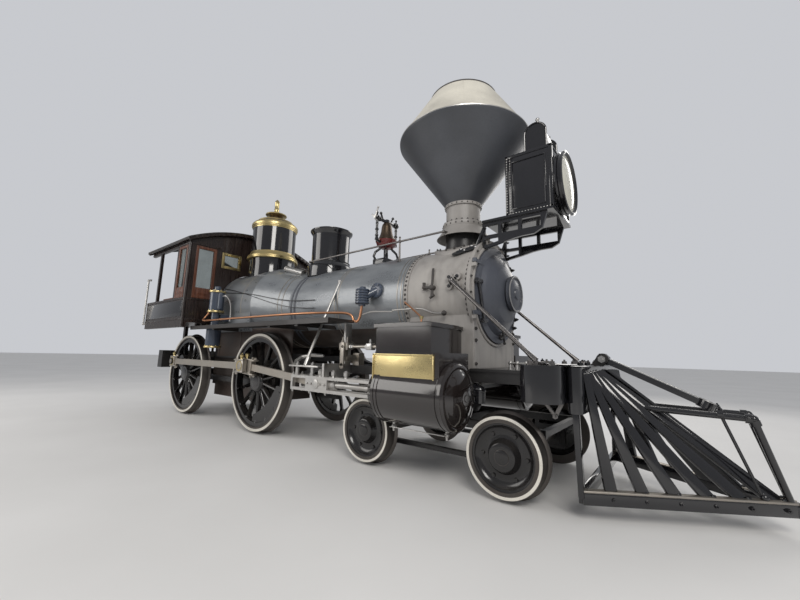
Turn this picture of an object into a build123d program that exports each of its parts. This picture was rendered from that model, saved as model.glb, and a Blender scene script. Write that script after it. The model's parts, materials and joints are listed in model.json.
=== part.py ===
from build123d import *
from math import cos, radians, sin, sqrt
import os

# Wood-burning American type steam locomotive, 4-4-0, without its tender.
# Millimetres. +X runs to the pilot, +Y to the engine's left, +Z up.
# The origin is under the middle of the whole engine, level with the flange tips.

# Wheelbase, from the drag beam's rear face to the pilot's nose
rear_overhang = 1112
driver_base = 2368
driver_to_bogie = 2138
bogie_base = 1509
bogie_to_beam = 513
pilot_reach = 1240

# Rails and wheels
back_to_back = 1359
flange_height = 28
flange_width = 32
tyre_width = 140
driver_tread = 686
bogie_tread = 322
driver_tyre_depth = 66
driver_rim_depth = 62
driver_spokes = 14
driver_hub_radius = 150
crank_boss_radius = 120
hub_proud = 16
axle_radius = 88
bogie_axle_radius = 62
box_clearance = 1
journal_fit = 0.05

# Rods, and the planes in which they run
crank_throw = 279.4
right_crank_angle = 130
quartering = 90
main_rod_length = 1680
crank_pin_radius = 56
rod_gap = 5
main_rod_width = 78
side_rod_width = 56
big_end_height = 210
small_end_height = 150
rod_depth = 92
side_rod_eye = 92
wrist_pin_radius = 40

# Cylinders and guides
cylinder_height = 756
cylinder_radius = 284
cylinder_length = 730
cylinder_start = 2520
cylinder_head_radius = 272
front_head_depth = 116
rear_head_depth = 90
gland_length = 130
gland_radius = 41
piston_rod_radius = 32
piston_rod_length = 1130
guide_bar_height = 34
guide_bar_width = 42
guide_opening = 108
guide_length = 1330
yoke_x = 1640
yoke_thickness = 32
chest_outer = 1060
cladding_outer = 1118
chest_top = 1402
chest_start = 2480
chest_length = 640
rocker_x = 1760
rocker_height = 1060
rocker_plane = 780
valve_rod_height = 1190

# Frames
frame_centre = 560
frame_thickness = 90
top_rail_height = 100
top_rail_z = 990
lower_rail_z = 600
lower_rail_height = 82
pedestal_gap = 270
pedestal_leg = 96
binder_z = 418
binder_height = 60
front_rail_z = 880
front_rail_height = 96
box_height = 320
spring_leaves = 7
leaf_thickness = 13
spring_half_length = 440
spring_rise = 26
spring_saddle = 76

# Boiler
boiler_axis = 1776
boiler_radius = 576
smokebox_radius = 560
smokebox_start = 2415
smokebox_length = 820
smokebox_wall = 14
front_plate_thickness = 22
front_plate_radius = 606
skirt_half_width = 512
skirt_bottom = 838
door_opening_radius = 470
door_radius = 520
door_bulge = 175
door_plate_radius = 192
door_gap = 5
taper_front = 300
taper_rear = -560
wagon_radius = 690
wagon_axis = 1856
firebox_front = -330
firebox_rear = -2010
firebox_half_width = 478
firebox_bottom = 520
firebox_throat = 1150
jacket_skirt = 1420
jacket_inset = 12
ashpan_bottom = 330
fire_door_height = 1850
fire_door_width = 420
fire_door_tall = 330

# Stack, domes, bell and headlamp
stack_x = 2866
stack_top = 4280
stack_top_radius = 405
stack_ring_height = 3688
stack_ring_radius = 785
stack_neck_radius = 207
stack_neck_height = 2890
stack_collar_radius = 241
stack_collar_height = 2655
stack_collar_depth = 50
stack_flare_radius = 313
stack_flare_height = 2475
stack_flange_radius = 335
stack_flange_thickness = 22
stack_wall = 10
steam_dome_x = -1130
steam_dome_radius = 385
steam_dome_top = 4007
sand_dome_x = 500
sand_dome_radius = 292
sand_dome_top = 3060
bell_x = 1660
bell_mouth_radius = 125
bell_waist_radius = 70
bell_wall = 9
bell_height = 270
bell_mouth_height = 2690
bell_post = 205
bell_post_thickness = 40
bell_post_gap = 9
bell_pin_radius = 18
bell_dish_radius = 150
bell_dish_depth = 110
bell_dish_gap = 10
bell_foot_top = 2404
lamp_rear = 3512
lamp_length = 470
lamp_half_width = 300
lamp_bottom = 2532
lamp_height = 655
lens_radius = 326
shelf_rear = 3262
shelf_half_width = 330
shelf_thickness = 24
bracket_outer = 306
bracket_thickness = 30

# Running boards, cab and pump
board_height = 1500
board_thickness = 30
board_edge_height = 58
board_inner = 700
board_outer = 1100
board_front = 1800
cab_front = -1660
cab_length = 1700
cab_half_width = 1240
cab_wall = 42
cab_floor_height = 1600
cab_floor_depth = 120
cab_sill = 1985
cab_window_top = 2900
front_window_post = 100
front_window_width = 350
small_window_inner = 330
small_window_width = 360
small_window_bottom = 2590
small_window_top = 2880
cab_eave = 3000
cab_crown = 3290
roof_thickness = 40
roof_overhang = 70
roof_front_overhang = 80
roof_rear_overhang = 90
pump_x = -1290
pump_y = -880
pump_radius = 112

# Bumper beam, deck, pilot and coupling bar
beam_half_width = 1090
beam_top = 1060
beam_height = 266
beam_depth = 300
deck_thickness = 26
head_half_width = 875
head_depth = 100
head_bottom = 723
head_top = 1050
pilot_half_width = 750
pilot_bar_bottom = 96
pilot_bar_height = 92
pilot_bar_thickness = 48
pilot_slats = 6
slat_width = 82
slat_thickness = 30
slat_top_drop = 40
slat_top_outer = 740
slat_top_inner = 180
slat_foot_first = 0.148
slat_foot_last = 0.955
nose_rail_half_width = 150
nose_rail_height = 742
nose_rail_reach = 200
nose_rail_radius = 22
coupling_pin_radius = 26
coupling_pin_rise = 66
coupling_pin_reach = 110
coupling_eye_radius = 58
coupling_eye_height = 60
coupling_bar_length = 760
coupling_bar_rest = 25.5

# Bogie
bogie_centre_spare = 6
bogie_centre_gap = 5
bogie_pin_radius = 60
bolster_top = 196
bolster_height = 96
bogie_frame_y = 500
bogie_frame_thickness = 60

# Drag beam and drawbar pin
drag_beam_height = 330
drag_beam_length = 190
drag_beam_half_width = 900
drawbar_pin_radius = 38
drawbar_slot = 110

chain = (rear_overhang, driver_base, driver_to_bogie, bogie_base, bogie_to_beam, pilot_reach)
tail_x = -sum(chain) / 2
rear_x = tail_x + rear_overhang
main_x = rear_x + driver_base
bogie_rear_x = main_x + driver_to_bogie
bogie_front_x = bogie_rear_x + bogie_base
bogie_x = (bogie_rear_x + bogie_front_x) / 2
beam_x = bogie_front_x + bogie_to_beam
nose_x = beam_x + pilot_reach
rail_z = flange_height
driver_z = rail_z + driver_tread
bogie_z = rail_z + bogie_tread
cylinder_z = rail_z + cylinder_height

tyre_face = back_to_back / 2 + tyre_width
hub_face = tyre_face + hub_proud
main_rod_inner = hub_face + 2 * rod_gap
main_rod_outer = main_rod_inner + main_rod_width
side_rod_inner = main_rod_outer + 2 * rod_gap
side_rod_outer = side_rod_inner + side_rod_width
rod_plane = (main_rod_inner + main_rod_outer) / 2
chest_inner = frame_centre + frame_thickness / 2
beam_rear = beam_x - beam_depth
bell_pivot = bell_mouth_height + bell_height
coupling_pin = (beam_x + coupling_pin_reach, 0, rail_z + head_top + coupling_pin_rise)

# Running-board brackets: place along the engine, then how far from the middle they start
board_brackets = ((-900, wagon_radius - jacket_inset), (620, 430), (1200, 430))

# Openings in the lamp brackets' upper strip: start and end ahead of the smokebox front
bracket_slots = ((24, 172), (206, 380), (414, 600))

SIDES = {"right": -1, "left": 1}
crank_angle = {"right": right_crank_angle, "left": right_crank_angle - quartering}


def fx(value):
    """Place along the engine, given ahead of the main driving axle."""
    return main_x + value


def up(value):
    """Height above the flange tips, given above the rail."""
    return rail_z + value


def crank(side, x):
    """Centre of a crank pin, as X and Z, for the axle at x."""
    angle = radians(crank_angle[side])
    return x + crank_throw * cos(angle), driver_z + crank_throw * sin(angle)


def wrist_x(side):
    """X of the crosshead's pin, where the main rod reaches it."""
    x, z = crank(side, main_x)
    return x + sqrt(main_rod_length ** 2 - (z - cylinder_z) ** 2)


def smokebox_round(radius, mode=Mode.ADD):
    """Cylinder along the smokebox, from its rear to its front plate."""
    x0, x1 = fx(smokebox_start), fx(smokebox_start + smokebox_length)
    round_bar((x0, 0, up(boiler_axis)), (x1, 0, up(boiler_axis)), radius, mode)


def slab(x, y, z, mode=Mode.ADD):
    """Square block from its low and high X, Y and Z."""
    with Locations(((x[0] + x[1]) / 2, (y[0] + y[1]) / 2, (z[0] + z[1]) / 2)):
        Box(abs(x[1] - x[0]), abs(y[1] - y[0]), abs(z[1] - z[0]), mode=mode)


def span(side, low, high):
    """Low and high Y of something between two distances from the middle."""
    ends = (SIDES[side] * low, SIDES[side] * high)
    return min(ends), max(ends)


def round_bar(start, end, radius, mode=Mode.ADD):
    """Round bar between two points."""
    run = Vector(*end) - Vector(*start)
    with BuildSketch(Plane(origin=start, z_dir=run)) as section:
        Circle(radius)
    extrude(section.sketch, amount=run.length, mode=mode)


def disc_y(x, z, y, radius, mode=Mode.ADD):
    """Disc on an axle across the engine, between two Y."""
    round_bar((x, y[0], z), (x, y[1], z), radius, mode)


def flat_bar(start, end, width, thickness, across):
    """Rectangular bar between two points, its width along across."""
    run = Vector(*end) - Vector(*start)
    with BuildSketch(Plane(origin=start, x_dir=across, z_dir=run)) as section:
        Rectangle(width, thickness)
    extrude(section.sketch, amount=run.length)


def side_plate(points, y, mode=Mode.ADD):
    """Plate of X, Z corners, between two Y."""
    with BuildSketch(Plane(origin=(0, max(y), 0), x_dir=(1, 0, 0), z_dir=(0, -1, 0))) as outline:
        with BuildLine():
            Polyline(*points, close=True)
        make_face()
    extrude(outline.sketch, amount=abs(y[1] - y[0]), mode=mode)


def turned(x, z, profile, mode=Mode.ADD):
    """Solid turned about a vertical line at x, from radius and height pairs."""
    with BuildSketch(Plane(origin=(x, 0, z), x_dir=(1, 0, 0), z_dir=(0, -1, 0))) as outline:
        with BuildLine():
            Polyline(*profile, close=True)
        make_face()
    revolve(outline.sketch, axis=Axis((x, 0, 0), (0, 0, 1)), mode=mode)


def turned_x(y, z, profile, mode=Mode.ADD):
    """Solid turned about a line along the engine, from X and radius pairs."""
    with BuildSketch(Plane(origin=(0, y, z), x_dir=(1, 0, 0), z_dir=(0, -1, 0))) as outline:
        with BuildLine():
            Polyline(*profile, close=True)
        make_face()
    revolve(outline.sketch, axis=Axis((0, y, z), (1, 0, 0)), mode=mode)


def turned_y(x, z, profile, mode=Mode.ADD):
    """Solid turned about a line across the engine, from Y and radius pairs."""
    with BuildSketch(Plane(origin=(x, 0, z), x_dir=(0, 1, 0), z_dir=(1, 0, 0))) as outline:
        with BuildLine():
            Polyline(*profile, close=True)
        make_face()
    revolve(outline.sketch, axis=Axis((x, 0, z), (0, 1, 0)), mode=mode)


def tyre_profile(sign, tread, inner):
    """Tyre outline, as Y and radius pairs, flange on the inner side."""
    back = sign * back_to_back / 2
    root = sign * (back_to_back / 2 + flange_width)
    face = sign * tyre_face
    tip = tread + flange_height
    return [(back, inner), (back, tip - 8), (back + sign * 8, tip), (root - sign * 12, tip - 4),
            (root, tread + 2), (face, tread - 3), (face, inner)]


def driver_wheel_pair(x, pin_ends):
    """Two spoked driving wheels with tyres, cranks and pins; pin_ends gives each pin's outer Y."""
    tyre_inner = driver_tread - driver_tyre_depth
    rim_inner = tyre_inner - driver_rim_depth
    centre = back_to_back / 2 + tyre_width / 2
    with BuildPart() as wheels:
        for side, sign in SIDES.items():
            turned_y(x, driver_z, tyre_profile(sign, driver_tread, tyre_inner - 1))
            rim = [sign * (centre - 56), sign * (centre + 56)]
            turned_y(x, driver_z, [(rim[0], rim_inner), (rim[0], tyre_inner),
                                   (rim[1], tyre_inner), (rim[1], rim_inner)])
            disc_y(x, driver_z, (sign * back_to_back / 2, sign * hub_face), driver_hub_radius)
            for number in range(driver_spokes):
                angle = radians(crank_angle[side] + (number + 0.5) * 360 / driver_spokes)
                start = (x + 90 * cos(angle), sign * centre, driver_z + 90 * sin(angle))
                end = (x + (rim_inner + 12) * cos(angle), sign * centre,
                       driver_z + (rim_inner + 12) * sin(angle))
                flat_bar(start, end, 72, 46, (0, 1, 0))
            pin_x, pin_z = crank(side, x)
            disc_y(pin_x, pin_z, (sign * (centre - 50), sign * hub_face), crank_boss_radius)
            disc_y(pin_x, pin_z, (sign * (hub_face - 10), sign * pin_ends), crank_pin_radius)
            turned_weight(x, side, sign, centre, rim_inner)
            disc_y(x, driver_z, (sign * (back_to_back / 2 - 5), sign * (hub_face + 5)),
                   axle_radius, Mode.SUBTRACT)
    return wheels


def turned_weight(x, side, sign, centre, rim_inner):
    """Crescent balance weight opposite the crank, between the spokes."""
    angle = radians(crank_angle[side] + 180)
    with BuildSketch(Plane(origin=(x, sign * (centre - 42), driver_z), x_dir=(cos(angle), 0, sin(angle)),
                           z_dir=(0, sign, 0))) as crescent:
        Circle(rim_inner + 10)
        with Locations((-150, 0)):
            Circle(rim_inner + 24, mode=Mode.SUBTRACT)
    extrude(crescent.sketch, amount=84)


def axle(x, z, radius, half_length, seat_radius):
    with BuildPart() as shaft:
        disc_y(x, z, (-half_length, half_length), radius)
        if seat_radius > radius:
            for sign in SIDES.values():
                disc_y(x, z, (sign * back_to_back / 2, sign * half_length), seat_radius)
    return shaft


def main_frame():
    """Two bar frames with pedestals, the front rails, and what ties them across."""
    top = up(top_rail_z) + top_rail_height
    with BuildPart() as frame:
        for side in SIDES:
            y = span(side, frame_centre - frame_thickness / 2, frame_centre + frame_thickness / 2)
            slab((tail_x + drag_beam_length, fx(700)), y, (up(top_rail_z), top))
            for x in (rear_x, main_x):
                for end in (-1, 1):
                    inner = x + end * pedestal_gap / 2
                    outer = inner + end * pedestal_leg
                    slab((min(inner, outer), max(inner, outer)), y, (up(binder_z), top))
                half = pedestal_gap / 2 + pedestal_leg + 26
                slab((x - half, x + half), y, (up(binder_z) - binder_height, up(binder_z)))
            half = pedestal_gap / 2 + pedestal_leg / 2
            slab((rear_x + half, main_x - half), y,
                 (up(lower_rail_z), up(lower_rail_z) + lower_rail_height))
            slab((rear_x - half - 460, rear_x - half), y,
                 (up(lower_rail_z), up(lower_rail_z) + lower_rail_height))
            slab((rear_x - half - 500, rear_x - half - 440), y, (up(lower_rail_z), top))
            side_plate([(fx(600), top), (fx(600), up(top_rail_z)), (fx(880), up(front_rail_z)),
                        (beam_rear, up(front_rail_z)),
                        (beam_rear, up(front_rail_z) + front_rail_height),
                        (fx(940), up(front_rail_z) + front_rail_height)], y)
            side_plate([(main_x + half, up(lower_rail_z) + lower_rail_height),
                        (main_x + half, up(lower_rail_z)), (fx(1040), up(front_rail_z) + 10),
                        (fx(900), up(front_rail_z) + 10)], y)
        for x, z in ((fx(1180), up(front_rail_z)), (fx(620), up(top_rail_z)),
                     (rear_x - 330, up(lower_rail_z))):
            slab((x - 35, x + 35), (-frame_centre, frame_centre), (z, z + 80))
    return frame


def driving_boxes():
    """Axle boxes in the pedestals, with the leaf springs over them."""
    with BuildPart() as boxes:
        for side in SIDES:
            y = span(side, frame_centre - frame_thickness / 2 - 14, frame_centre + frame_thickness / 2 + 14)
            for x in (rear_x, main_x):
                slab((x - pedestal_gap / 2, x + pedestal_gap / 2), y,
                     (driver_z - box_height / 2, driver_z + box_height / 2))
                disc_y(x, driver_z, (y[0] - 1, y[1] + 1), axle_radius + box_clearance, Mode.SUBTRACT)
    return boxes


def driver_springs():
    """Leaf springs over the axles, on saddles astride the top rails."""
    top = up(top_rail_z) + top_rail_height
    hook_top = top + spring_saddle + spring_leaves * leaf_thickness + 40
    with BuildPart() as springs:
        for side in SIDES:
            y = span(side, frame_centre - 40, frame_centre + 40)
            hanger = span(side, frame_centre - 16, frame_centre + 16)
            for x in (rear_x, main_x):
                slab((x - 45, x + 45), y, (top, top + spring_saddle))
                for leaf in range(spring_leaves):
                    half = spring_half_length - leaf * 55
                    z = top + spring_saddle - 6 + (spring_leaves - 1 - leaf) * leaf_thickness
                    side_plate([(x - half, z + spring_rise), (x, z), (x + half, z + spring_rise),
                                (x + half, z + spring_rise + leaf_thickness), (x, z + leaf_thickness),
                                (x - half, z + spring_rise + leaf_thickness)], y)
                for end in (-1, 1):
                    hook = x + end * (spring_half_length - 24)
                    slab((hook - 14, hook + 14), hanger, (top, hook_top))
    return springs


def drag_beam():
    """Rear cross beam with the drawbar's pocket and its pin hole."""
    z = (up(top_rail_z) + top_rail_height - drag_beam_height, up(top_rail_z) + top_rail_height)
    with BuildPart() as beam:
        slab((tail_x, tail_x + drag_beam_length), (-drag_beam_half_width, drag_beam_half_width), z)
        middle = (z[0] + z[1]) / 2 - 40
        slab((tail_x - 1, tail_x + drag_beam_length - 40), (-150, 150),
             (middle - drawbar_slot / 2, middle + drawbar_slot / 2), Mode.SUBTRACT)
        round_bar((tail_x + 75, 0, z[0] - 5), (tail_x + 75, 0, z[1] + 5), drawbar_pin_radius,
                  Mode.SUBTRACT)
    return beam


def bumper_beam():
    """Wooden beam with rounded ends across the front."""
    radius = beam_depth / 2
    x = beam_x - radius
    with BuildPart() as beam:
        with BuildSketch(Plane.XY.offset(up(beam_top) - beam_height)) as plan:
            with Locations((x, 0)):
                SlotOverall(2 * beam_half_width, beam_depth, rotation=90)
        extrude(plan.sketch, amount=beam_height)
    return beam


def front_deck():
    """Deck plate between the cylinders and the beam, on the front rails."""
    with BuildPart() as deck:
        z = up(front_rail_z) + front_rail_height
        slab((fx(smokebox_start + smokebox_length + 30), beam_rear), (-620, 620),
             (z, z + deck_thickness))
    return deck


def pilot():
    """Slatted pilot: rounded head against the beam, V-shaped foot bar, slats and the nose rail."""
    foot_z = up(pilot_bar_bottom)
    top_z = up(head_top) - slat_top_drop
    rear = beam_x + pilot_bar_thickness
    with BuildPart() as cow:
        with BuildSketch(Plane.XY.offset(up(head_bottom))) as plan:
            with Locations((beam_x + head_depth / 2, 0)):
                SlotOverall(2 * head_half_width, head_depth, rotation=90)
        extrude(plan.sketch, amount=head_top - head_bottom)
        for sign in SIDES.values():
            corner = Vector(rear, sign * pilot_half_width, foot_z + pilot_bar_height / 2)
            nose = Vector(nose_x - 30, sign * 8, foot_z + pilot_bar_height / 2)
            bar = nose - corner
            flat_bar(corner, nose, pilot_bar_thickness, pilot_bar_height, (0, 1, 0))
            for number in range(pilot_slats):
                share = number / (pilot_slats - 1)
                top_y = slat_top_outer + share * (slat_top_inner - slat_top_outer)
                foot = corner + bar * (slat_foot_first + share * (slat_foot_last - slat_foot_first))
                flat_bar((beam_x + head_depth + slat_thickness / 4, sign * top_y, top_z), foot,
                         slat_width, slat_thickness, tuple(bar))
            post_y = (head_half_width + pilot_half_width) / 2
            flat_bar((rear, sign * post_y, up(head_bottom) + 10), corner, 60, 40, (0, 1, 0))
            path = [(beam_x + head_depth - 5, sign * nose_rail_half_width, up(nose_rail_height)),
                    (nose_x - nose_rail_reach, sign * nose_rail_half_width, up(nose_rail_height) - 14),
                    (nose_x - 50, sign * 24, foot_z + pilot_bar_height)]
            for start, end in zip(path, path[1:]):
                round_bar(start, end, nose_rail_radius)
            with Locations(path[1]):
                Sphere(nose_rail_radius)
        slab((nose_x - 90, nose_x), (-30, 30), (foot_z, foot_z + pilot_bar_height))
        slab((rear - 24, rear + 24), (-pilot_half_width, pilot_half_width),
             (foot_z, foot_z + pilot_bar_height))
    return cow


def coupling_bar():
    """Long drawbar over the pilot, hinged on a cross pin, with an eye for an upright pin."""
    angle = radians(coupling_bar_rest)
    along = Vector(cos(angle), 0, -sin(angle))
    upright = Vector(sin(angle), 0, cos(angle)) * (coupling_eye_height / 2)
    pin = Vector(coupling_pin)
    end = pin + along * coupling_bar_length
    with BuildPart() as bar:
        flat_bar(pin, end, 60, 46, (0, 1, 0))
        disc_y(pin.X, pin.Z, (-30, 30), 52)
        round_bar(end - upright, end + upright, coupling_eye_radius)
        disc_y(pin.X, pin.Z, (-40, 40), coupling_pin_radius + journal_fit, Mode.SUBTRACT)
        round_bar(end - upright * 2, end + upright * 2, coupling_pin_radius, Mode.SUBTRACT)
    return bar


def coupling_bracket():
    """Forked bracket and pin that carry the coupling bar on the pilot's head."""
    seat = up(head_top)
    x, _, z = coupling_pin
    with BuildPart() as bracket:
        for sign in SIDES.values():
            side_plate([(beam_x + 10, seat), (beam_x + head_depth - 5, seat), (x + 50, z - 16),
                        (x + 50, z + 20), (x + 20, z + 50), (x - 20, z + 50)], (sign * 36, sign * 58))
        slab((beam_x + 10, beam_x + head_depth - 5), (-58, 58), (seat, seat + 8))
        disc_y(x, z, (-70, 70), coupling_pin_radius)
    return bracket


def smokebox():
    """Hollow smokebox: wrapper, front plate with its skirt, and the door opening."""
    x0, x1 = fx(smokebox_start), fx(smokebox_start + smokebox_length)
    with BuildPart() as box:
        smokebox_round(smokebox_radius)
        round_bar((x0 + 30, 0, up(boiler_axis)), (x1 + 1, 0, up(boiler_axis)),
                  smokebox_radius - smokebox_wall, Mode.SUBTRACT)
        with BuildSketch(Plane(origin=(x1, 0, 0), x_dir=(0, 1, 0), z_dir=(1, 0, 0))) as plate:
            with Locations((0, up(boiler_axis))):
                Circle(front_plate_radius)
            with Locations((0, (up(boiler_axis) + up(skirt_bottom)) / 2)):
                Rectangle(2 * skirt_half_width, boiler_axis - skirt_bottom)
            with Locations((0, up(boiler_axis))):
                Circle(door_opening_radius, mode=Mode.SUBTRACT)
        extrude(plate.sketch, amount=front_plate_thickness)
        for sign in SIDES.values():
            y = (sign * (skirt_half_width - 30), sign * (skirt_half_width - 12))
            slab((x0 + 60, x1), (min(y), max(y)), (up(skirt_bottom) + 150, up(boiler_axis) - 230))
        round_bar((fx(stack_x), 0, up(boiler_axis) + 400), (fx(stack_x), 0, up(boiler_axis) + 620),
                  stack_neck_radius - stack_wall, Mode.SUBTRACT)
        face = x1 + front_plate_thickness
        hinge = (face + 28, -door_radius - 26)
        for height in (-260, 260):
            z = up(boiler_axis) + height
            slab((face, face + 46), (-door_radius - 44, -door_radius - 8), (z - 40, z - 4))
            round_bar((*hinge, z - 42), (*hinge, z + 44), 11)
    return box


def smokebox_door():
    """Dished door with a ring, two strap hinges and the round plate at its middle."""
    x = fx(smokebox_start + smokebox_length) + front_plate_thickness + door_gap
    hinge = (x - door_gap + 28, -door_radius - 26)
    z = up(boiler_axis)
    with BuildPart() as door:
        turned_x(0, z, [(x, 0), (x, door_radius), (x + 26, door_radius), (x + 30, 440),
                        (x + 70, 400), (x + 130, 300), (x + door_bulge, 180), (x + door_bulge, 0)])
        turned_x(0, z, [(x - 1, 0), (x - 1, 420), (x + 50, 385), (x + 112, 285), (x + 155, 170),
                        (x + 155, 0)], Mode.SUBTRACT)
        turned_x(0, z, [(x + 150, 0), (x + 150, 60), (x + 190, 60), (x + 190, door_plate_radius),
                        (x + 216, door_plate_radius), (x + 216, 0)])
        for height in (-260, 260):
            slab((hinge[0] - 8, hinge[0] + 10), (hinge[1], -300), (z + height + 2, z + height + 38))
            round_bar((*hinge, z + height + 1), (*hinge, z + height + 39), 24)
            round_bar((*hinge, z + height), (*hinge, z + height + 40), 11 + journal_fit, Mode.SUBTRACT)
    return door


def barrel_shape(mode=Mode.ADD):
    """Straight barrel and the taper behind it, up to the wagon top."""
    round_bar((fx(taper_front), 0, up(boiler_axis)), (fx(smokebox_start), 0, up(boiler_axis)),
              boiler_radius, mode)
    with BuildSketch(Plane(origin=(fx(taper_front), 0, up(boiler_axis)), z_dir=(-1, 0, 0))) as front:
        Circle(boiler_radius)
    with BuildSketch(Plane(origin=(fx(taper_rear), 0, up(wagon_axis)), z_dir=(-1, 0, 0))) as back:
        Circle(wagon_radius)
    loft([front.sketch, back.sketch], mode=mode)


def boiler_barrel():
    """Barrel under its jacket, with the taper up to the wagon top."""
    with BuildPart() as barrel:
        barrel_shape()
    return barrel


def firebox():
    """Firebox wrapper: round top, jacket sides, and the narrow box between the frames."""
    x0, x1 = fx(firebox_rear), fx(taper_rear)
    z = up(wagon_axis)
    with BuildPart() as box:
        with BuildSketch(Plane(origin=(x0, 0, 0), x_dir=(0, 1, 0), z_dir=(1, 0, 0))) as wrapper:
            with Locations((0, z)):
                Circle(wagon_radius)
            with Locations((0, (z + up(jacket_skirt)) / 2)):
                Rectangle(2 * (wagon_radius - jacket_inset), z - up(jacket_skirt))
        extrude(wrapper.sketch, amount=x1 - x0)
        slab((x0, fx(firebox_front)), (-firebox_half_width, firebox_half_width),
             (up(firebox_bottom), up(firebox_throat)))
        slab((x0, x1), (-firebox_half_width, firebox_half_width), (up(firebox_bottom), up(boiler_axis)))
        slab((x0 - 5, x0 + 260), (-fire_door_width / 2, fire_door_width / 2),
             (up(fire_door_height) - fire_door_tall / 2, up(fire_door_height) + fire_door_tall / 2),
             Mode.SUBTRACT)
        for z in (up(fire_door_height) - 110, up(fire_door_height) + 80):
            slab((x0 - 44, x0), (fire_door_width / 2 + 20, fire_door_width / 2 + 62), (z - 44, z - 2))
            round_bar((x0 - 26, fire_door_width / 2 + 41, z - 44),
                      (x0 - 26, fire_door_width / 2 + 41, z + 42), 10)
    return box


def fire_door():
    """Firehole door on the boiler's back head."""
    x0 = fx(firebox_rear)
    half = fire_door_width / 2 + 22
    with BuildPart() as door:
        slab((x0 - 36, x0 - 5), (-half, half - 12),
             (up(fire_door_height) - fire_door_tall / 2 - 22, up(fire_door_height) + fire_door_tall / 2 + 22))
        for z in (up(fire_door_height) - 110, up(fire_door_height) + 80):
            slab((x0 - 40, x0 - 14), (half - 60, fire_door_width / 2 + 41), (z, z + 36))
            round_bar((x0 - 26, fire_door_width / 2 + 41, z), (x0 - 26, fire_door_width / 2 + 41, z + 36), 22)
            round_bar((x0 - 26, fire_door_width / 2 + 41, z - 1),
                      (x0 - 26, fire_door_width / 2 + 41, z + 37), 10 + journal_fit, Mode.SUBTRACT)
    return door


def ashpan():
    """Ashpan under the firebox, between the frames."""
    with BuildPart() as pan:
        slab((fx(firebox_rear) + 40, fx(firebox_front) - 40),
             (-firebox_half_width + 30, firebox_half_width - 30), (up(ashpan_bottom), up(firebox_bottom)))
    return pan


def stack_foot():
    """Foot of the stack: saddle flange, drum, and the flare that hangs from the collar."""
    top = up(stack_collar_height)
    inner = stack_neck_radius - stack_wall
    seat = up(boiler_axis) + smokebox_radius - 60
    x = fx(stack_x)
    flare = [(stack_neck_radius - 2, top), (stack_collar_radius, top),
             (stack_collar_radius, top - stack_collar_depth), (stack_flare_radius, up(stack_flare_height)),
             (stack_flare_radius - stack_wall, up(stack_flare_height)),
             (stack_collar_radius - stack_wall, top - stack_collar_depth - stack_wall),
             (stack_neck_radius - 2, top - stack_collar_depth - stack_wall)]
    with BuildPart() as flange:
        round_bar((x, 0, seat - 60), (x, 0, top), stack_flange_radius)
        smokebox_round(smokebox_radius + stack_flange_thickness, Mode.INTERSECT)
    with BuildPart() as foot:
        add(flange.part)
        round_bar((x, 0, seat), (x, 0, top), stack_neck_radius)
        turned(x, 0, flare)
        round_bar((x, 0, seat - 80), (x, 0, top + 1), inner, Mode.SUBTRACT)
        smokebox_round(smokebox_radius + 0.3, Mode.SUBTRACT)
    return foot


def smokestack():
    """Neck and long cone of the balloon stack, up to its ring."""
    outer = [(stack_neck_radius, up(stack_collar_height)), (stack_neck_radius, up(stack_neck_height)),
             (stack_ring_radius, up(stack_ring_height) - 26), (stack_ring_radius, up(stack_ring_height))]
    with BuildPart() as stack:
        turned(fx(stack_x), 0, outer + [(radius - stack_wall, z) for radius, z in reversed(outer)])
    return stack


def stack_top_cone():
    """Upper cone of the stack, from the ring to the mouth's lip."""
    outer = [(stack_ring_radius, up(stack_ring_height)), (stack_top_radius, up(stack_top) - 14),
             (stack_top_radius + 12, up(stack_top))]
    with BuildPart() as cone:
        turned(fx(stack_x), 0, outer + [(radius - stack_wall, z) for radius, z in reversed(outer)])
    return cone


def steam_dome():
    """Steam dome: skirt, base ring, body, cornice, stepped cap and finial."""
    body = steam_dome_radius
    tip = steam_dome_top
    profile = [(0, up(tip - 1527)), (body + 13, up(tip - 1527)), (body + 20, up(tip - 1237)),
               (body + 65, up(tip - 1228)), (body + 55, up(tip - 1177)), (body, up(tip - 1107)),
               (body, up(tip - 650)), (body + 28, up(tip - 633)), (body + 28, up(tip - 545)),
               (body - 10, up(tip - 530)), (body - 110, up(tip - 437)), (120, up(tip - 387)),
               (110, up(tip - 347)), (194, up(tip - 335)), (194, up(tip - 317)), (60, up(tip - 287)),
               (47, up(tip - 267)), (47, up(tip - 47)), (36, up(tip - 17)), (0, up(tip))]
    with BuildPart() as dome:
        turned(fx(steam_dome_x), 0, profile)
        round_bar((fx(firebox_rear) - 10, 0, up(wagon_axis)), (fx(taper_rear) + 10, 0, up(wagon_axis)),
                  wagon_radius, Mode.SUBTRACT)
    return dome


def sand_dome():
    """Sand dome: flared foot, body and lid."""
    body = sand_dome_radius
    profile = [(0, up(2250)), (body + 60, up(2250)), (body + 62, up(2420)), (body + 6, up(2500)),
               (body, up(2520)), (body, up(2960)), (body + 38, up(3000)), (body + 40, up(3030)),
               (body - 30, up(3044)), (60, up(sand_dome_top)), (0, up(sand_dome_top))]
    with BuildPart() as dome:
        turned(fx(sand_dome_x), 0, profile)
        barrel_shape(Mode.SUBTRACT)
    return dome


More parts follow.
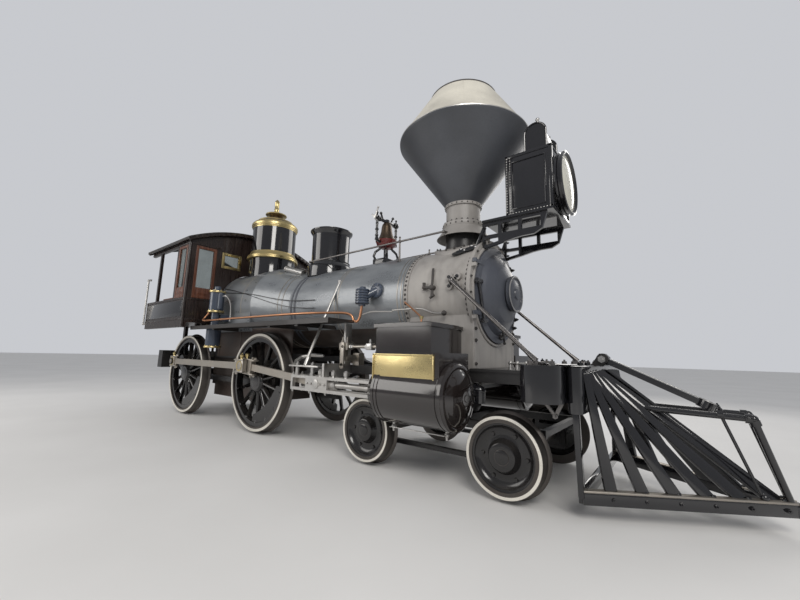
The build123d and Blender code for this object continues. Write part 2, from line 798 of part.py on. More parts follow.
def bell_stand():
    """Cradle on the barrel: foot, four legs, a dish, and two posts with the bell's pivots."""
    x = fx(bell_x)
    dish_top = up(bell_mouth_height) - bell_dish_gap
    dish_bottom = dish_top - bell_dish_depth
    rim = bell_dish_radius
    with BuildPart() as stand:
        slab((x - 110, x + 110), (-150, 150), (up(boiler_axis) + boiler_radius - 60, up(bell_foot_top)))
        turned(x, 0, [(0, dish_bottom), (rim - 80, dish_bottom), (rim - 24, dish_bottom + 36),
                      (rim, dish_top - 16), (rim, dish_top), (rim - 12, dish_top),
                      (rim - 50, dish_top - 50), (0, dish_top - 68)])
        for sign in SIDES.values():
            for end in (-1, 1):
                flat_bar((x + end * 84, sign * 120, up(bell_foot_top) - 10),
                         (x + end * 50, sign * 60, dish_bottom + 20), 34, 26, (0, 1, 0))
            flat_bar((x, sign * (rim - 30), dish_top - 40), (x, sign * bell_post, dish_top - 10),
                     56, 30, (1, 0, 0))
            flat_bar((x, sign * bell_post, dish_top - 40), (x, sign * bell_post, up(bell_pivot) + 40),
                     56, bell_post_thickness, (1, 0, 0))
            disc_y(x, up(bell_pivot), (sign * (bell_post - 56), sign * (bell_post + 32)), bell_pin_radius)
        barrel_shape(Mode.SUBTRACT)
    return stand


def bell():
    """Bell with its yoke, hung on the stand's two pivots."""
    top = up(bell_pivot)
    mouth = up(bell_mouth_height)
    outer = [(bell_mouth_radius, mouth), (bell_mouth_radius - 13, mouth + 24),
             (bell_waist_radius + 20, mouth + 70), (bell_waist_radius + 6, mouth + 130),
             (bell_waist_radius, mouth + 200),
             (bell_waist_radius - 10, top - 34), (bell_waist_radius - 32, top - 8), (bell_wall, top)]
    inner = [(radius - bell_wall, z - bell_wall) for radius, z in outer[1:]]
    yoke = bell_post - bell_post_thickness / 2 - bell_post_gap
    x = fx(bell_x)
    with BuildPart() as swing:
        turned(x, 0, [(0, top)] + outer[::-1] + [(bell_mouth_radius - bell_wall, mouth)] + inner)
        slab((x - 26, x + 26), (-yoke, yoke), (up(bell_pivot) - 30, up(bell_pivot) + 30))
        for sign in SIDES.values():
            disc_y(x, up(bell_pivot), (sign * (yoke - 32), sign * (yoke + 1)),
                   bell_pin_radius + journal_fit, Mode.SUBTRACT)
        round_bar((x, 0, mouth + 20), (x, 0, top - 20), 9)
        with Locations((x, 0, mouth + 20)):
            Sphere(24)
    return swing


def headlamp():
    """Box headlamp with its lens ring and arched ventilator."""
    x0, x1 = fx(lamp_rear), fx(lamp_rear + lamp_length)
    z0, z1 = up(lamp_bottom), up(lamp_bottom) + lamp_height
    middle = up(lamp_bottom) + lens_radius
    with BuildPart() as lamp:
        slab((x0, x1), (-lamp_half_width, lamp_half_width), (z0, z1))
        turned_x(0, middle, [(x1 - 10, 0), (x1 - 10, lens_radius - 16), (x1 + 40, lens_radius - 10),
                             (x1 + 70, lens_radius), (x1 + 84, lens_radius - 22), (x1 + 70, lens_radius - 30),
                             (x1 + 62, 0)])
        with BuildSketch(Plane(origin=(x0 + 285, 190, z1), x_dir=(1, 0, 0), z_dir=(0, -1, 0))) as arch:
            Circle(100)
            with Locations((0, 120)):
                Rectangle(200, 240, mode=Mode.ADD)
            with Locations((0, 240)):
                Circle(100)
            with Locations((0, -60)):
                Rectangle(240, 120, mode=Mode.SUBTRACT)
        extrude(arch.sketch, amount=380)
    return lamp


def headlamp_shelf():
    """Shelf for the lamp on two deep openwork brackets from the smokebox front."""
    x0, x1 = fx(shelf_rear), fx(lamp_rear + lamp_length)
    z1 = up(lamp_bottom)
    z0 = z1 - shelf_thickness
    front = fx(smokebox_start + smokebox_length) + front_plate_thickness
    door_top = up(boiler_axis) + door_radius + door_gap
    with BuildPart() as shelf:
        slab((x0, x1), (-shelf_half_width, shelf_half_width), (z0, z1))
        for sign in SIDES.values():
            y = (sign * (bracket_outer - bracket_thickness), sign * bracket_outer)
            side_plate([(front, door_top - 72), (front + 200, door_top - 38), (front + 330, door_top - 10),
                        (front + 420, door_top), (front + 533, door_top + 2), (front + 613, door_top + 44),
                        (x1 - 60, z0), (front, z0)], y)
            side_plate([(front + 24, door_top - 36), (front + 172, door_top - 10),
                        (front + 172, door_top + 34), (front + 24, door_top + 34)], y, Mode.SUBTRACT)
            for low, high in bracket_slots:
                slab((front + low, front + high), (min(y) - 1, max(y) + 1), (door_top + 70, z0 - 34),
                     Mode.SUBTRACT)
    return shelf


def cylinder(side):
    """Cylinder in its cladding with both heads, and the steam chest on top."""
    sign = SIDES[side]
    y = sign * rod_plane
    x0 = fx(cylinder_start)
    x1 = x0 + cylinder_length
    rear = x0 - rear_head_depth
    with BuildPart() as block:
        turned_x(y, cylinder_z, [(x0, 0), (x0, cylinder_radius), (x1, cylinder_radius),
                                 (x1, cylinder_radius + 12), (x1 + 34, cylinder_radius + 12),
                                 (x1 + 40, cylinder_head_radius - 20), (x1 + 86, 170),
                                 (x1 + front_head_depth, 60), (x1 + front_head_depth, 0)])
        turned_x(y, cylinder_z, [(x0 + 5, 0), (x0 + 5, cylinder_radius), (rear, cylinder_radius - 62),
                                 (rear - 40, 150), (rear - 40, gland_radius),
                                 (rear - gland_length, gland_radius), (rear - gland_length, 0)])
        chest = fx(chest_start)
        slab((x0 + 4, x1 - 10), span(side, chest_inner, cladding_outer), (cylinder_z + 20, up(1136)))
        slab((chest, chest + chest_length), span(side, chest_inner, chest_outer), (up(1120), up(chest_top)))
        slab((chest - 20, chest + chest_length + 20), span(side, chest_inner, chest_outer + 20),
             (up(chest_top) - 34, up(chest_top)))
        slab((x0 + 60, x1 - 60), span(side, frame_centre + frame_thickness / 2, 720),
             (cylinder_z - 60, up(1136)))
        round_bar((rear - gland_length - 1, y, cylinder_z), (x0 + cylinder_length - 90, y, cylinder_z),
                  piston_rod_radius + journal_fit, Mode.SUBTRACT)
    return block


def cylinder_saddle():
    """Casting between the frames that carries the cylinders and the smokebox."""
    x0 = fx(cylinder_start) + 60
    x1 = fx(cylinder_start) + cylinder_length - 60
    inner = frame_centre - frame_thickness / 2
    with BuildPart() as saddle:
        slab((x0, x1), (-inner, inner), (up(front_rail_z) - 90, up(front_rail_z) + front_rail_height))
        slab((x0, x1), (-inner + 80, inner - 80), (up(front_rail_z), up(boiler_axis) - 300))
        smokebox_round(smokebox_radius, Mode.SUBTRACT)
        seat = bogie_z + bolster_top + bogie_centre_gap
        turned(bogie_x, 0, [(0, seat), (140, seat), (170, seat + 60), (200, up(front_rail_z) - 80),
                            (0, up(front_rail_z) - 80)])
        round_bar((bogie_x, 0, bogie_z + bolster_top - bolster_height), (bogie_x, 0, seat + 20),
                  bogie_pin_radius)
    return saddle


def guides():
    """Four guide bars a side, their end blocks and the yoke that hangs them."""
    with BuildPart() as bars:
        x1 = fx(cylinder_start) - rear_head_depth - 40
        x0 = x1 - guide_length
        half = guide_opening / 2
        block = (cylinder_z - half - guide_bar_height, cylinder_z + half + guide_bar_height)
        outer = frame_centre + frame_thickness / 2
        for side in SIDES:
            for y in (main_rod_inner - rod_gap - guide_bar_width, main_rod_outer + rod_gap):
                pair = span(side, y, y + guide_bar_width)
                for z in (cylinder_z + half, cylinder_z - half - guide_bar_height):
                    slab((x0, x1), pair, (z, z + guide_bar_height))
                slab((x0 - 34, x0 + 2), pair, block)
                slab((x1 - 34, x1), pair, block)
            yoke = (fx(yoke_x), fx(yoke_x) + yoke_thickness)
            top = block[1]
            slab(yoke, span(side, outer, main_rod_outer + rod_gap + guide_bar_width + 40), (top, top + 150))
            slab(yoke, span(side, main_rod_inner - rod_gap, main_rod_outer + rod_gap), (top - 1, top + 60),
                 Mode.SUBTRACT)
            slab(yoke, span(side, outer, board_inner), (top, up(board_height) - board_thickness))
    return bars


def crosshead(side):
    """Crosshead between the guide bars, with its piston rod and pin."""
    sign = SIDES[side]
    x = wrist_x(side)
    half = guide_opening / 2
    slide = 0.4
    inner = main_rod_inner - rod_gap
    outer = main_rod_outer + rod_gap
    with BuildPart() as head:
        for y in (inner - guide_bar_width, outer):
            slab((x - 190, x + 190), span(side, y, y + guide_bar_width),
                 (cylinder_z - half + slide, cylinder_z + half - slide))
        slab((x + 120, x + 190), span(side, inner - 4, outer + 4),
             (cylinder_z - half + 2, cylinder_z + half - 2))
        round_bar((x + 180, sign * rod_plane, cylinder_z),
                  (x + piston_rod_length, sign * rod_plane, cylinder_z), piston_rod_radius)
        disc_y(x, cylinder_z, (sign * (inner - 10), sign * (outer + 10)), wrist_pin_radius)
    return head


def main_rod(side):
    """Main rod from the crosshead's pin to its strap end and short pin at the crank."""
    sign = SIDES[side]
    pin_x, pin_z = crank(side, main_x)
    small = (wrist_x(side), cylinder_z)
    middle = sign * rod_plane
    run = Vector(small[0] - pin_x, 0, small[1] - pin_z).normalized()
    with BuildPart() as rod:
        start = (pin_x + run.X * 60, middle, pin_z + run.Z * 60)
        end = (small[0] - run.X * 20, middle, small[1] - run.Z * 20)
        flat_bar(start, end, 52, rod_depth, (0, 1, 0))
        for centre, back, ahead, height in (((pin_x, pin_z), -110, 190, big_end_height),
                                            (small, -110, 64, small_end_height)):
            first = (centre[0] + run.X * back, middle, centre[1] + run.Z * back)
            last = (centre[0] + run.X * ahead, middle, centre[1] + run.Z * ahead)
            flat_bar(first, last, main_rod_width, height * (0.85 if centre == small else 1), (0, 1, 0))
        disc_y(*small, (middle - 60, middle + 60), wrist_pin_radius + journal_fit, Mode.SUBTRACT)
        disc_y(pin_x, pin_z, (sign * main_rod_inner, sign * (main_rod_outer + rod_gap)), crank_pin_radius)
    return rod


def side_rod(side):
    """Coupling rod between the crank pins, with strap ends."""
    front = crank(side, main_x)
    back = crank(side, rear_x)
    y = span(side, side_rod_inner, side_rod_outer)
    middle = (y[0] + y[1]) / 2
    with BuildPart() as rod:
        flat_bar((back[0], middle, back[1]), (front[0], middle, front[1]), 40, 96, (0, 1, 0))
        for x, z in (front, back):
            slab((x - side_rod_eye, x + side_rod_eye), y, (z - side_rod_eye, z + side_rod_eye))
        disc_y(*back, (y[0] - 1, y[1] + 1), crank_pin_radius + journal_fit, Mode.SUBTRACT)
    return rod


def bogie_frame():
    """Leading bogie: side frames with pedestals and springs, and the swing bolster."""
    with BuildPart() as frame:
        for side in SIDES:
            y = span(side, bogie_frame_y - bogie_frame_thickness / 2,
                     bogie_frame_y + bogie_frame_thickness / 2)
            slab((bogie_rear_x - 260, bogie_front_x + 260), y, (bogie_z + 130, bogie_z + 200))
            for x in (bogie_rear_x, bogie_front_x):
                for end in (-1, 1):
                    slab((x + end * 130 - 25, x + end * 130 + 25), y, (bogie_z - 110, bogie_z + 140))
                slab((x - 150, x + 150), y, (bogie_z - 140, bogie_z - 100))
                slab((x - 108, x + 108), (y[0] - 10, y[1] + 10), (bogie_z - 96, bogie_z + 96))
                disc_y(x, bogie_z, (y[0] - 12, y[1] + 12), bogie_axle_radius + box_clearance, Mode.SUBTRACT)
            slab((bogie_rear_x + 150, bogie_front_x - 150), y, (bogie_z - 140, bogie_z - 100))
        for x in (bogie_rear_x - 235, bogie_front_x + 235):
            slab((x - 25, x + 25), (-bogie_frame_y, bogie_frame_y), (bogie_z + 140, bogie_z + 190))
        slab((bogie_x - 150, bogie_x + 150), (-bogie_frame_y, bogie_frame_y),
             (bogie_z + bolster_top - bolster_height, bogie_z + bolster_top))
        round_bar((bogie_x, 0, bogie_z + 90), (bogie_x, 0, bogie_z + bolster_top + 10),
                  bogie_pin_radius + bogie_centre_spare, Mode.SUBTRACT)
    return frame


def bogie_wheels(x):
    """Two plate wheels of the bogie."""
    with BuildPart() as wheels:
        for sign in SIDES.values():
            turned_y(x, bogie_z, tyre_profile(sign, bogie_tread, bogie_tread - 60))
            middle = sign * (back_to_back / 2 + tyre_width / 2)
            disc_y(x, bogie_z, (middle - 20, middle + 20), bogie_tread - 55)
            disc_y(x, bogie_z, (sign * back_to_back / 2, sign * (tyre_face + 10)), 110)
            disc_y(x, bogie_z, (sign * (back_to_back / 2 - 5), sign * (tyre_face + 20)),
                   bogie_axle_radius, Mode.SUBTRACT)
    return wheels


def running_boards():
    """Boards along both sides, on brackets from the frames."""
    with BuildPart() as boards:
        for side in SIDES:
            x0, x1 = fx(cab_front) + 2, fx(board_front)
            slab((x0, x1), span(side, board_inner, board_outer),
                 (up(board_height) - board_thickness, up(board_height)))
            slab((x0, x1), span(side, board_outer - 24, board_outer),
                 (up(board_height) - board_edge_height, up(board_height) - board_thickness))
            for x, inner in board_brackets:
                slab((fx(x) - 30, fx(x) + 30), span(side, inner, board_outer - 24),
                     (up(board_height) - board_edge_height - 20, up(board_height) - board_thickness))
            if side == "right":
                round_bar((fx(pump_x), pump_y, up(board_height) - 100),
                          (fx(pump_x), pump_y, up(board_height) + 10), pump_radius + 40, Mode.SUBTRACT)
        barrel_shape(Mode.SUBTRACT)
    return boards


def cab_floor():
    """Cab floor on its beams, open over the boiler's back head."""
    x1 = fx(cab_front)
    x0 = x1 - cab_length
    with BuildPart() as floor:
        slab((x0, x1), (-cab_half_width, cab_half_width), (up(cab_floor_height) - 36, up(cab_floor_height)))
        for side in SIDES:
            slab((x0, x1), span(side, cab_half_width - 60, cab_half_width),
                 (up(cab_floor_height) - cab_floor_depth, up(cab_floor_height) - 36))
        slab((fx(firebox_rear) - 60, x1 + 1), (-wagon_radius - 10, wagon_radius + 10),
             (up(cab_floor_height) - 200, up(cab_floor_height) + 1), Mode.SUBTRACT)
        for side in SIDES:
            slab((x0 + 130, x0 + 210), span(side, frame_centre - 30, frame_centre + 30),
                 (up(top_rail_z) + top_rail_height, up(cab_floor_height) - 30))
            for x in (x1 - 300, x1 - 80):
                slab((x - 30, x + 30), span(side, wagon_radius - jacket_inset, 900),
                     (up(board_height), up(cab_floor_height) - 30))
    return floor


def cab_front_wall():
    """Front wall round the boiler, with two tall and two small windows."""
    x = (fx(cab_front) - cab_wall, fx(cab_front))
    with BuildPart() as wall:
        slab(x, (-cab_half_width, cab_half_width), (up(cab_floor_height), up(cab_eave)))
        crown_plate(x)
        round_bar((x[0] - 1, 0, up(wagon_axis)), (x[1] + 1, 0, up(wagon_axis)), wagon_radius + 6,
                  Mode.SUBTRACT)
        slab((x[0] - 1, x[1] + 1), (-wagon_radius - 6, wagon_radius + 6),
             (up(cab_floor_height) - 1, up(wagon_axis)), Mode.SUBTRACT)
        for side in SIDES:
            outer = cab_half_width - front_window_post
            slab((x[0] - 1, x[1] + 1), span(side, outer - front_window_width, outer),
                 (up(cab_sill), up(cab_window_top)), Mode.SUBTRACT)
            slab((x[0] - 1, x[1] + 1),
                 span(side, small_window_inner, small_window_inner + small_window_width),
                 (up(small_window_bottom), up(small_window_top)), Mode.SUBTRACT)
    return wall


def crown_plate(x):
    """Curved top of a wall, up to the roof's underside."""
    with BuildSketch(Plane(origin=(x[0], 0, 0), x_dir=(0, 1, 0), z_dir=(1, 0, 0))) as top:
        with BuildLine():
            ThreePointArc((-cab_half_width, up(cab_eave)), (0, up(cab_crown)), (cab_half_width, up(cab_eave)))
            Line((cab_half_width, up(cab_eave)), (-cab_half_width, up(cab_eave)))
        make_face()
    extrude(top.sketch, amount=x[1] - x[0])


def cab_sides():
    """Side walls: low panels, the window posts and the eave boards."""
    x1 = fx(cab_front) - cab_wall
    x0 = fx(cab_front) - cab_length
    with BuildPart() as walls:
        for side in SIDES:
            y = span(side, cab_half_width - cab_wall, cab_half_width)
            slab((x0, x1), y, (up(cab_floor_height), up(cab_eave)))
            wide = (y[0] - 1, y[1] + 1)
            for rear, front in ((x1 - 400, x1 - 40), (x1 - 1200, x1 - 460), (x0 - 1, x1 - 1260)):
                slab((rear, front), wide, (up(cab_sill), up(cab_window_top)), Mode.SUBTRACT)
    return walls


def cab_roof():
    """Low arched roof with its overhangs."""
    rise = cab_crown - cab_eave
    half = cab_half_width + roof_overhang
    x0 = fx(cab_front) - cab_length - roof_rear_overhang
    x1 = fx(cab_front) + roof_front_overhang
    with BuildPart() as roof:
        with BuildSketch(Plane(origin=(x0, 0, 0), x_dir=(0, 1, 0), z_dir=(1, 0, 0))) as arch:
            with BuildLine():
                low = up(cab_eave)
                radius = (cab_half_width ** 2 + rise ** 2) / (2 * rise)
                edge = low + rise - radius + sqrt(radius ** 2 - half ** 2)
                ThreePointArc((-half, edge), (0, low + rise), (half, edge))
                Line((half, edge), (half, edge + roof_thickness))
                ThreePointArc((half, edge + roof_thickness), (0, low + rise + roof_thickness),
                              (-half, edge + roof_thickness))
                Line((-half, edge + roof_thickness), (-half, edge))
            make_face()
        extrude(arch.sketch, amount=x1 - x0)
    return roof


def cab_seats():
    """Two box seats along the cab sides."""
    with BuildPart() as seats:
        for side in SIDES:
            x1 = fx(cab_front) - cab_wall
            slab((x1 - 1000, x1 - 40), span(side, cab_half_width - cab_wall - 420, cab_half_width - cab_wall),
                 (up(cab_floor_height), up(cab_floor_height) + 420))
    return seats


def air_pump():
    """Two-cylinder air pump on a bracket at the firebox's right side."""
    y = pump_y
    x = fx(pump_x)
    with BuildPart() as pump:
        for low, high, radius in ((1150, 1500, pump_radius), (1730, 2090, pump_radius)):
            round_bar((x, y, up(low)), (x, y, up(high)), radius)
            for z in (low, high - 30):
                round_bar((x, y, up(z)), (x, y, up(z) + 30), radius + 14)
        round_bar((x, y, up(1500)), (x, y, up(1730)), 62)
        slab((x - 60, x + 60), (y + 60, -wagon_radius + jacket_inset), (up(1600), up(1700)))
    return pump


def smokebox_braces():
    """Two bright rods from the smokebox sides down to the bumper beam."""
    with BuildPart() as braces:
        for sign in SIDES.values():
            top = (fx(3063), sign * (smokebox_radius + 60), up(1860))
            foot = (beam_rear + 60, sign * 720, up(beam_top) + 24)
            round_bar(top, foot, 19)
            slab((foot[0] - 50, foot[0] + 50), (foot[1] - 45, foot[1] + 45),
                 (up(beam_top), up(beam_top) + 24))
            slab((top[0] - 40, top[0] + 40), (min(sign * 545, sign * 640), max(sign * 545, sign * 640)),
                 (top[2] - 40, top[2] + 40))
        smokebox_round(smokebox_radius, Mode.SUBTRACT)
        round_bar((fx(smokebox_start + smokebox_length), 0, up(boiler_axis)),
                  (fx(smokebox_start + smokebox_length) + front_plate_thickness, 0, up(boiler_axis)),
                  front_plate_radius, Mode.SUBTRACT)
    return braces


def blast_pipe():
    """Exhaust stand and petticoat pipe under the stack."""
    z0 = up(boiler_axis) - smokebox_radius + smokebox_wall
    with BuildPart() as pipe:
        turned(fx(stack_x), 0, [(0, z0 - 2), (150, z0 - 2), (150, z0 + 30), (70, z0 + 60), (50, z0 + 300),
                                (0, z0 + 300)])
        smokebox_round(smokebox_radius - smokebox_wall - 0.3, Mode.INTERSECT)
    return pipe


def petticoat_pipe():
    """Flared pipe hung between the blast pipe and the stack."""
    z0 = up(boiler_axis)
    outer = [(170, z0 - 140), (110, z0 - 40), (110, z0 + 260), (150, z0 + 380)]
    with BuildPart() as pipe:
        turned(fx(stack_x), 0, outer + [(radius - 6, z) for radius, z in reversed(outer)])
        for sign in SIDES.values():
            slab((fx(stack_x) - 15, fx(stack_x) + 15),
                 (min(sign * 105, sign * 520), max(sign * 105, sign * 520)), (z0 + 100, z0 + 112))
    return pipe


def valve_rods():
    """Rocker arms and valve rods outside the frames."""
    rocker = fx(rocker_x)
    inner = frame_centre - frame_thickness / 2
    with BuildPart() as rods:
        for side in SIDES:
            y = SIDES[side] * rocker_plane
            round_bar((rocker, y, up(valve_rod_height)), (fx(chest_start), y, up(valve_rod_height)), 20)
            disc_y(rocker, up(rocker_height), (SIDES[side] * inner, y), 36)
            flat_bar((rocker, y, up(rocker_height) - 30), (rocker, y, up(valve_rod_height) + 40),
                     60, 30, (1, 0, 0))
            slab((rocker - 50, rocker + 50), span(side, inner, inner + frame_thickness),
                 (up(front_rail_z) + front_rail_height, up(rocker_height) + 60))
    return rods


os.makedirs("parts", exist_ok=True)
pin_stub = hub_face + rod_gap
pin_long = side_rod_outer + 26
pieces = {
    "main_frame": main_frame(),
    "driving_boxes": driving_boxes(),
    "driver_springs": driver_springs(),
    "drag_beam": drag_beam(),
    "bumper_beam": bumper_beam(),
    "front_deck": front_deck(),
    "pilot": pilot(),
    "coupling_bracket": coupling_bracket(),
    "coupling_bar": coupling_bar(),
    "smokebox": smokebox(),
    "smokebox_door": smokebox_door(),
    "boiler_barrel": boiler_barrel(),
    "firebox": firebox(),
    "fire_door": fire_door(),
    "ashpan": ashpan(),
    "stack_foot": stack_foot(),
    "smokestack": smokestack(),
    "stack_top_cone": stack_top_cone(),
    "steam_dome": steam_dome(),
    "sand_dome": sand_dome(),
    "bell_stand": bell_stand(),
    "bell": bell(),
    "headlamp": headlamp(),
    "headlamp_shelf": headlamp_shelf(),
    "cylinder_saddle": cylinder_saddle(),
    "guides": guides(),
    "running_boards": running_boards(),
    "cab_floor": cab_floor(),
    "cab_front_wall": cab_front_wall(),
    "cab_sides": cab_sides(),
    "cab_roof": cab_roof(),
    "cab_seats": cab_seats(),
    "air_pump": air_pump(),
    "smokebox_braces": smokebox_braces(),
    "blast_pipe": blast_pipe(),
    "petticoat_pipe": petticoat_pipe(),
    "valve_rods": valve_rods(),
    "main_driver_wheels": driver_wheel_pair(main_x, pin_stub),
    "main_driver_axle": axle(main_x, driver_z, axle_radius, hub_face, axle_radius),
    "rear_driver_wheels": driver_wheel_pair(rear_x, pin_long),
    "rear_driver_axle": axle(rear_x, driver_z, axle_radius, hub_face, axle_radius),
    "bogie_frame": bogie_frame(),
    "bogie_wheels_rear": bogie_wheels(bogie_rear_x),
    "bogie_axle_rear": axle(bogie_rear_x, bogie_z, bogie_axle_radius, tyre_face + 10, 0),
    "bogie_wheels_front": bogie_wheels(bogie_front_x),
    "bogie_axle_front": axle(bogie_front_x, bogie_z, bogie_axle_radius, tyre_face + 10, 0),
}
for side in SIDES:
    pieces["cylinder_" + side] = cylinder(side)
    pieces["crosshead_" + side] = crosshead(side)
    pieces["main_rod_" + side] = main_rod(side)
    pieces["side_rod_" + side] = side_rod(side)

for label, piece in pieces.items():
    piece.part.label = label
    export_step(piece.part, f"parts/{label}.step")
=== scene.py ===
"""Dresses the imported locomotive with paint, brass, rivets and fittings, and sets its stage and camera."""

import json
import math

import bmesh
import bpy
from mathutils import Matrix, Vector


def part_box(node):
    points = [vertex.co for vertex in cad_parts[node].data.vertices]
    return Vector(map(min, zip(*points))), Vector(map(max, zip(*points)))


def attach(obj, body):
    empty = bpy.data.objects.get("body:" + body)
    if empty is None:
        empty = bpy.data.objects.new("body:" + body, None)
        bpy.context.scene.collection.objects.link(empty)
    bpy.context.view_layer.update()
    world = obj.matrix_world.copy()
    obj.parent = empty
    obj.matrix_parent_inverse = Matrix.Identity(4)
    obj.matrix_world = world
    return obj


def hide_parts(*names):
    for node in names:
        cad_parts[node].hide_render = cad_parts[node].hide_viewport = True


bl_info = {
    "name": "Wood-burning locomotive",
    "version": (1, 0, 0),
    "blender": (4, 5, 0),
    "location": "View3D > Sidebar > Locomotive",
    "description": "Dresses a 4-4-0 wood burner with its paint, brasswork and fittings",
    "category": "Object",
}

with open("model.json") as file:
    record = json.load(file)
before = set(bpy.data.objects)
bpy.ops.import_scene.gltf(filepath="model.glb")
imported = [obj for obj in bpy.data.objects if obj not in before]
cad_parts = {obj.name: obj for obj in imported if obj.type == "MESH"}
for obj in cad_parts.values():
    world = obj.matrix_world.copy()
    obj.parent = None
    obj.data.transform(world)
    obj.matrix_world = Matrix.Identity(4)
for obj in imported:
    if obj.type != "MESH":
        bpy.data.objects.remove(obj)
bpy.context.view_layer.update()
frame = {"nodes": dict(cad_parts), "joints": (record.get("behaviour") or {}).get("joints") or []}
NODES = frame["nodes"]
BOX = {name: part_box(name) for name in NODES}
PIVOT = {joint["name"]: Vector(joint["pos_m"]) for joint in frame["joints"] if "pos_m" in joint}
SIDES = {"right": -1, "left": 1}
SIGNS = tuple(SIDES.values())
X, Y, Z = Vector((1, 0, 0)), Vector((0, 1, 0)), Vector((0, 0, 1))
MM = 0.001


def middle(node):
    """Middle of a node's box."""
    return (BOX[node][0] + BOX[node][1]) / 2


MAIN = middle("main_driver_axle")
REAR = middle("rear_driver_axle")
TREAD_RADIUS = 0.686
RAIL_TOP = MAIN.z - TREAD_RADIUS
SMOKE_LOW, SMOKE_HIGH = BOX["smokebox"]
BOILER_Z = SMOKE_HIGH.z - SMOKE_HIGH.y
BARREL_RADIUS = 0.576
WAGON_RADIUS = BOX["boiler_barrel"][1].y
WAGON_Z = BOX["boiler_barrel"][1].z - WAGON_RADIUS
TAPER_FRONT, TAPER_LENGTH = 0.3, 0.86
# Height below which the jacket is painted dark brown, as shade on its underside
JACKET_FOOT = RAIL_TOP + 1.42
BELL = PIVOT["bell_swing"]
BEAM_LOW, BEAM_HIGH = BOX["bumper_beam"]
SHELF_LOW, SHELF_HIGH = BOX["headlamp_shelf"]
CAB_LOW, CAB_HIGH = BOX["cab_sides"]
NOSE_X = BOX["pilot"][1].x
CYLINDER_HEIGHT = 0.756


def at(x, y, z):
    """Place that far ahead of the main driving axle, left of the middle and above the rail."""
    return Vector((MAIN.x + x, y, RAIL_TOP + z))


def over(node, height=0.0):
    """Place on a node's middle line, that far above the rail."""
    return Vector((middle(node).x, 0, RAIL_TOP + height))


def ray(angle, first, second):
    """Way at an angle in degrees, from one axis to another."""
    return first * math.cos(math.radians(angle)) + second * math.sin(math.radians(angle))


def polar(centre, radius, angle, first, second):
    """Point on a circle in the plane of two axes."""
    return Vector(centre) + ray(angle, first, second) * radius


def around(count, first=0.0, last=360.0):
    """Angles in degrees spread evenly from first up to last."""
    return [first + (last - first) * number / count for number in range(count)]


def skin(x, angle, lift=0.0):
    """Point on the boiler's jacket, by its distance ahead and the angle from the engine's left."""
    share = min(1.0, max(0.0, (TAPER_FRONT - x) / TAPER_LENGTH))
    radius = BARREL_RADIUS + share * (WAGON_RADIUS - BARREL_RADIUS)
    height = BOILER_Z + share * (WAGON_Z - BOILER_Z)
    return polar((MAIN.x + x, 0, height), radius + lift, angle, Y, Z)


def round_top(radius, y):
    """Height of a round boiler course at a distance from the middle."""
    return BOILER_Z + math.sqrt(radius ** 2 - y ** 2)


def crank(axle, side, y=0.0):
    """Middle of a crank pin, at rest."""
    throw = PIVOT[f"side_rod_{side}_pin"] - REAR
    return Vector((axle.x + throw.x, y, axle.z + throw.z))


class Value:
    """Output of a shader node, which takes part in sums."""

    def __init__(self, shader, socket):
        self.shader = shader
        self.socket = socket

    def sum(self, operation, first, second):
        """Math node over two values."""
        return self.shader.node("Math", {"operation": operation}, {0: first, 1: second})

    def __add__(self, other):
        return self.sum("ADD", self, other)

    def __radd__(self, other):
        return self.sum("ADD", other, self)

    def __rsub__(self, other):
        return self.sum("SUBTRACT", other, self)

    def __mul__(self, other):
        return self.sum("MULTIPLY", self, other)

    def __gt__(self, other):
        return self.sum("GREATER_THAN", self, other)


class Shader:
    """Nodes of one finish."""

    def __init__(self, name, owner=None):
        self.material = owner or bpy.data.materials.new(name)
        self.material.use_nodes = True
        self.tree = self.material.node_tree
        self.tree.nodes.clear()

    def node(self, kind, settings=None, inputs=None, output=0):
        """Add a node, set it, feed its sockets, and return one output."""
        made = self.tree.nodes.new("ShaderNode" + kind)
        for key, value in (settings or {}).items():
            setattr(made, key, value)
        for key, value in (inputs or {}).items():
            socket = made.inputs[key]
            if isinstance(value, Value):
                self.tree.links.new(value.socket, socket)
            elif socket.type == "RGBA":
                socket.default_value = (*value, 1)
            else:
                socket.default_value = value
        return Value(self, made.outputs[output]) if len(made.outputs) else None

    def place(self, stretch=(1, 1, 1)):
        """Object coordinates, stretched along each axis."""
        coords = self.node("TexCoord", output="Object")
        return self.node("Mapping", None, {"Vector": coords, "Scale": stretch})

    def noise(self, scale, stretch=(1, 1, 1), detail=4, low=0.35, high=0.65):
        """Cloudy pattern between 0 and 1; a higher scale is finer."""
        place = self.place(stretch)
        cloud = self.node("TexNoise", None, {"Vector": place, "Scale": scale, "Detail": detail})
        return self.node("MapRange", None, {"Value": cloud, "From Min": low, "From Max": high})

    def mix(self, factor, first, second):
        """Colour between two, by a factor."""
        return self.node("Mix", {"data_type": "RGBA"}, {0: factor, 6: first, 7: second}, output=2)

    def topside(self):
        """1 on faces that look up, 0 on the rest."""
        normal = self.node("NewGeometry", output="Normal")
        height = self.node("SeparateXYZ", None, {0: normal}, output="Z")
        return self.node("MapRange", None, {"Value": height, "From Min": 0.35, "From Max": 0.95})

    def finish(self, colour, roughness, metallic=0.0, bump=None, depth=0.001, coat=0.0):
        """Close the nodes with a surface."""
        inputs = {"Base Color": colour, "Roughness": roughness, "Metallic": metallic,
                  "Coat Weight": coat, "Coat Roughness": 0.08}
        if bump is not None:
            inputs["Normal"] = self.node("Bump", None, {"Height": bump, "Distance": depth, "Strength": 0.6})
        surface = self.node("BsdfPrincipled", None, inputs)
        self.node("OutputMaterial", None, {"Surface": surface})
        return self.material


def shade(colour, factor):
    """A colour made lighter or darker."""
    return tuple(min(1, channel * factor) for channel in colour)


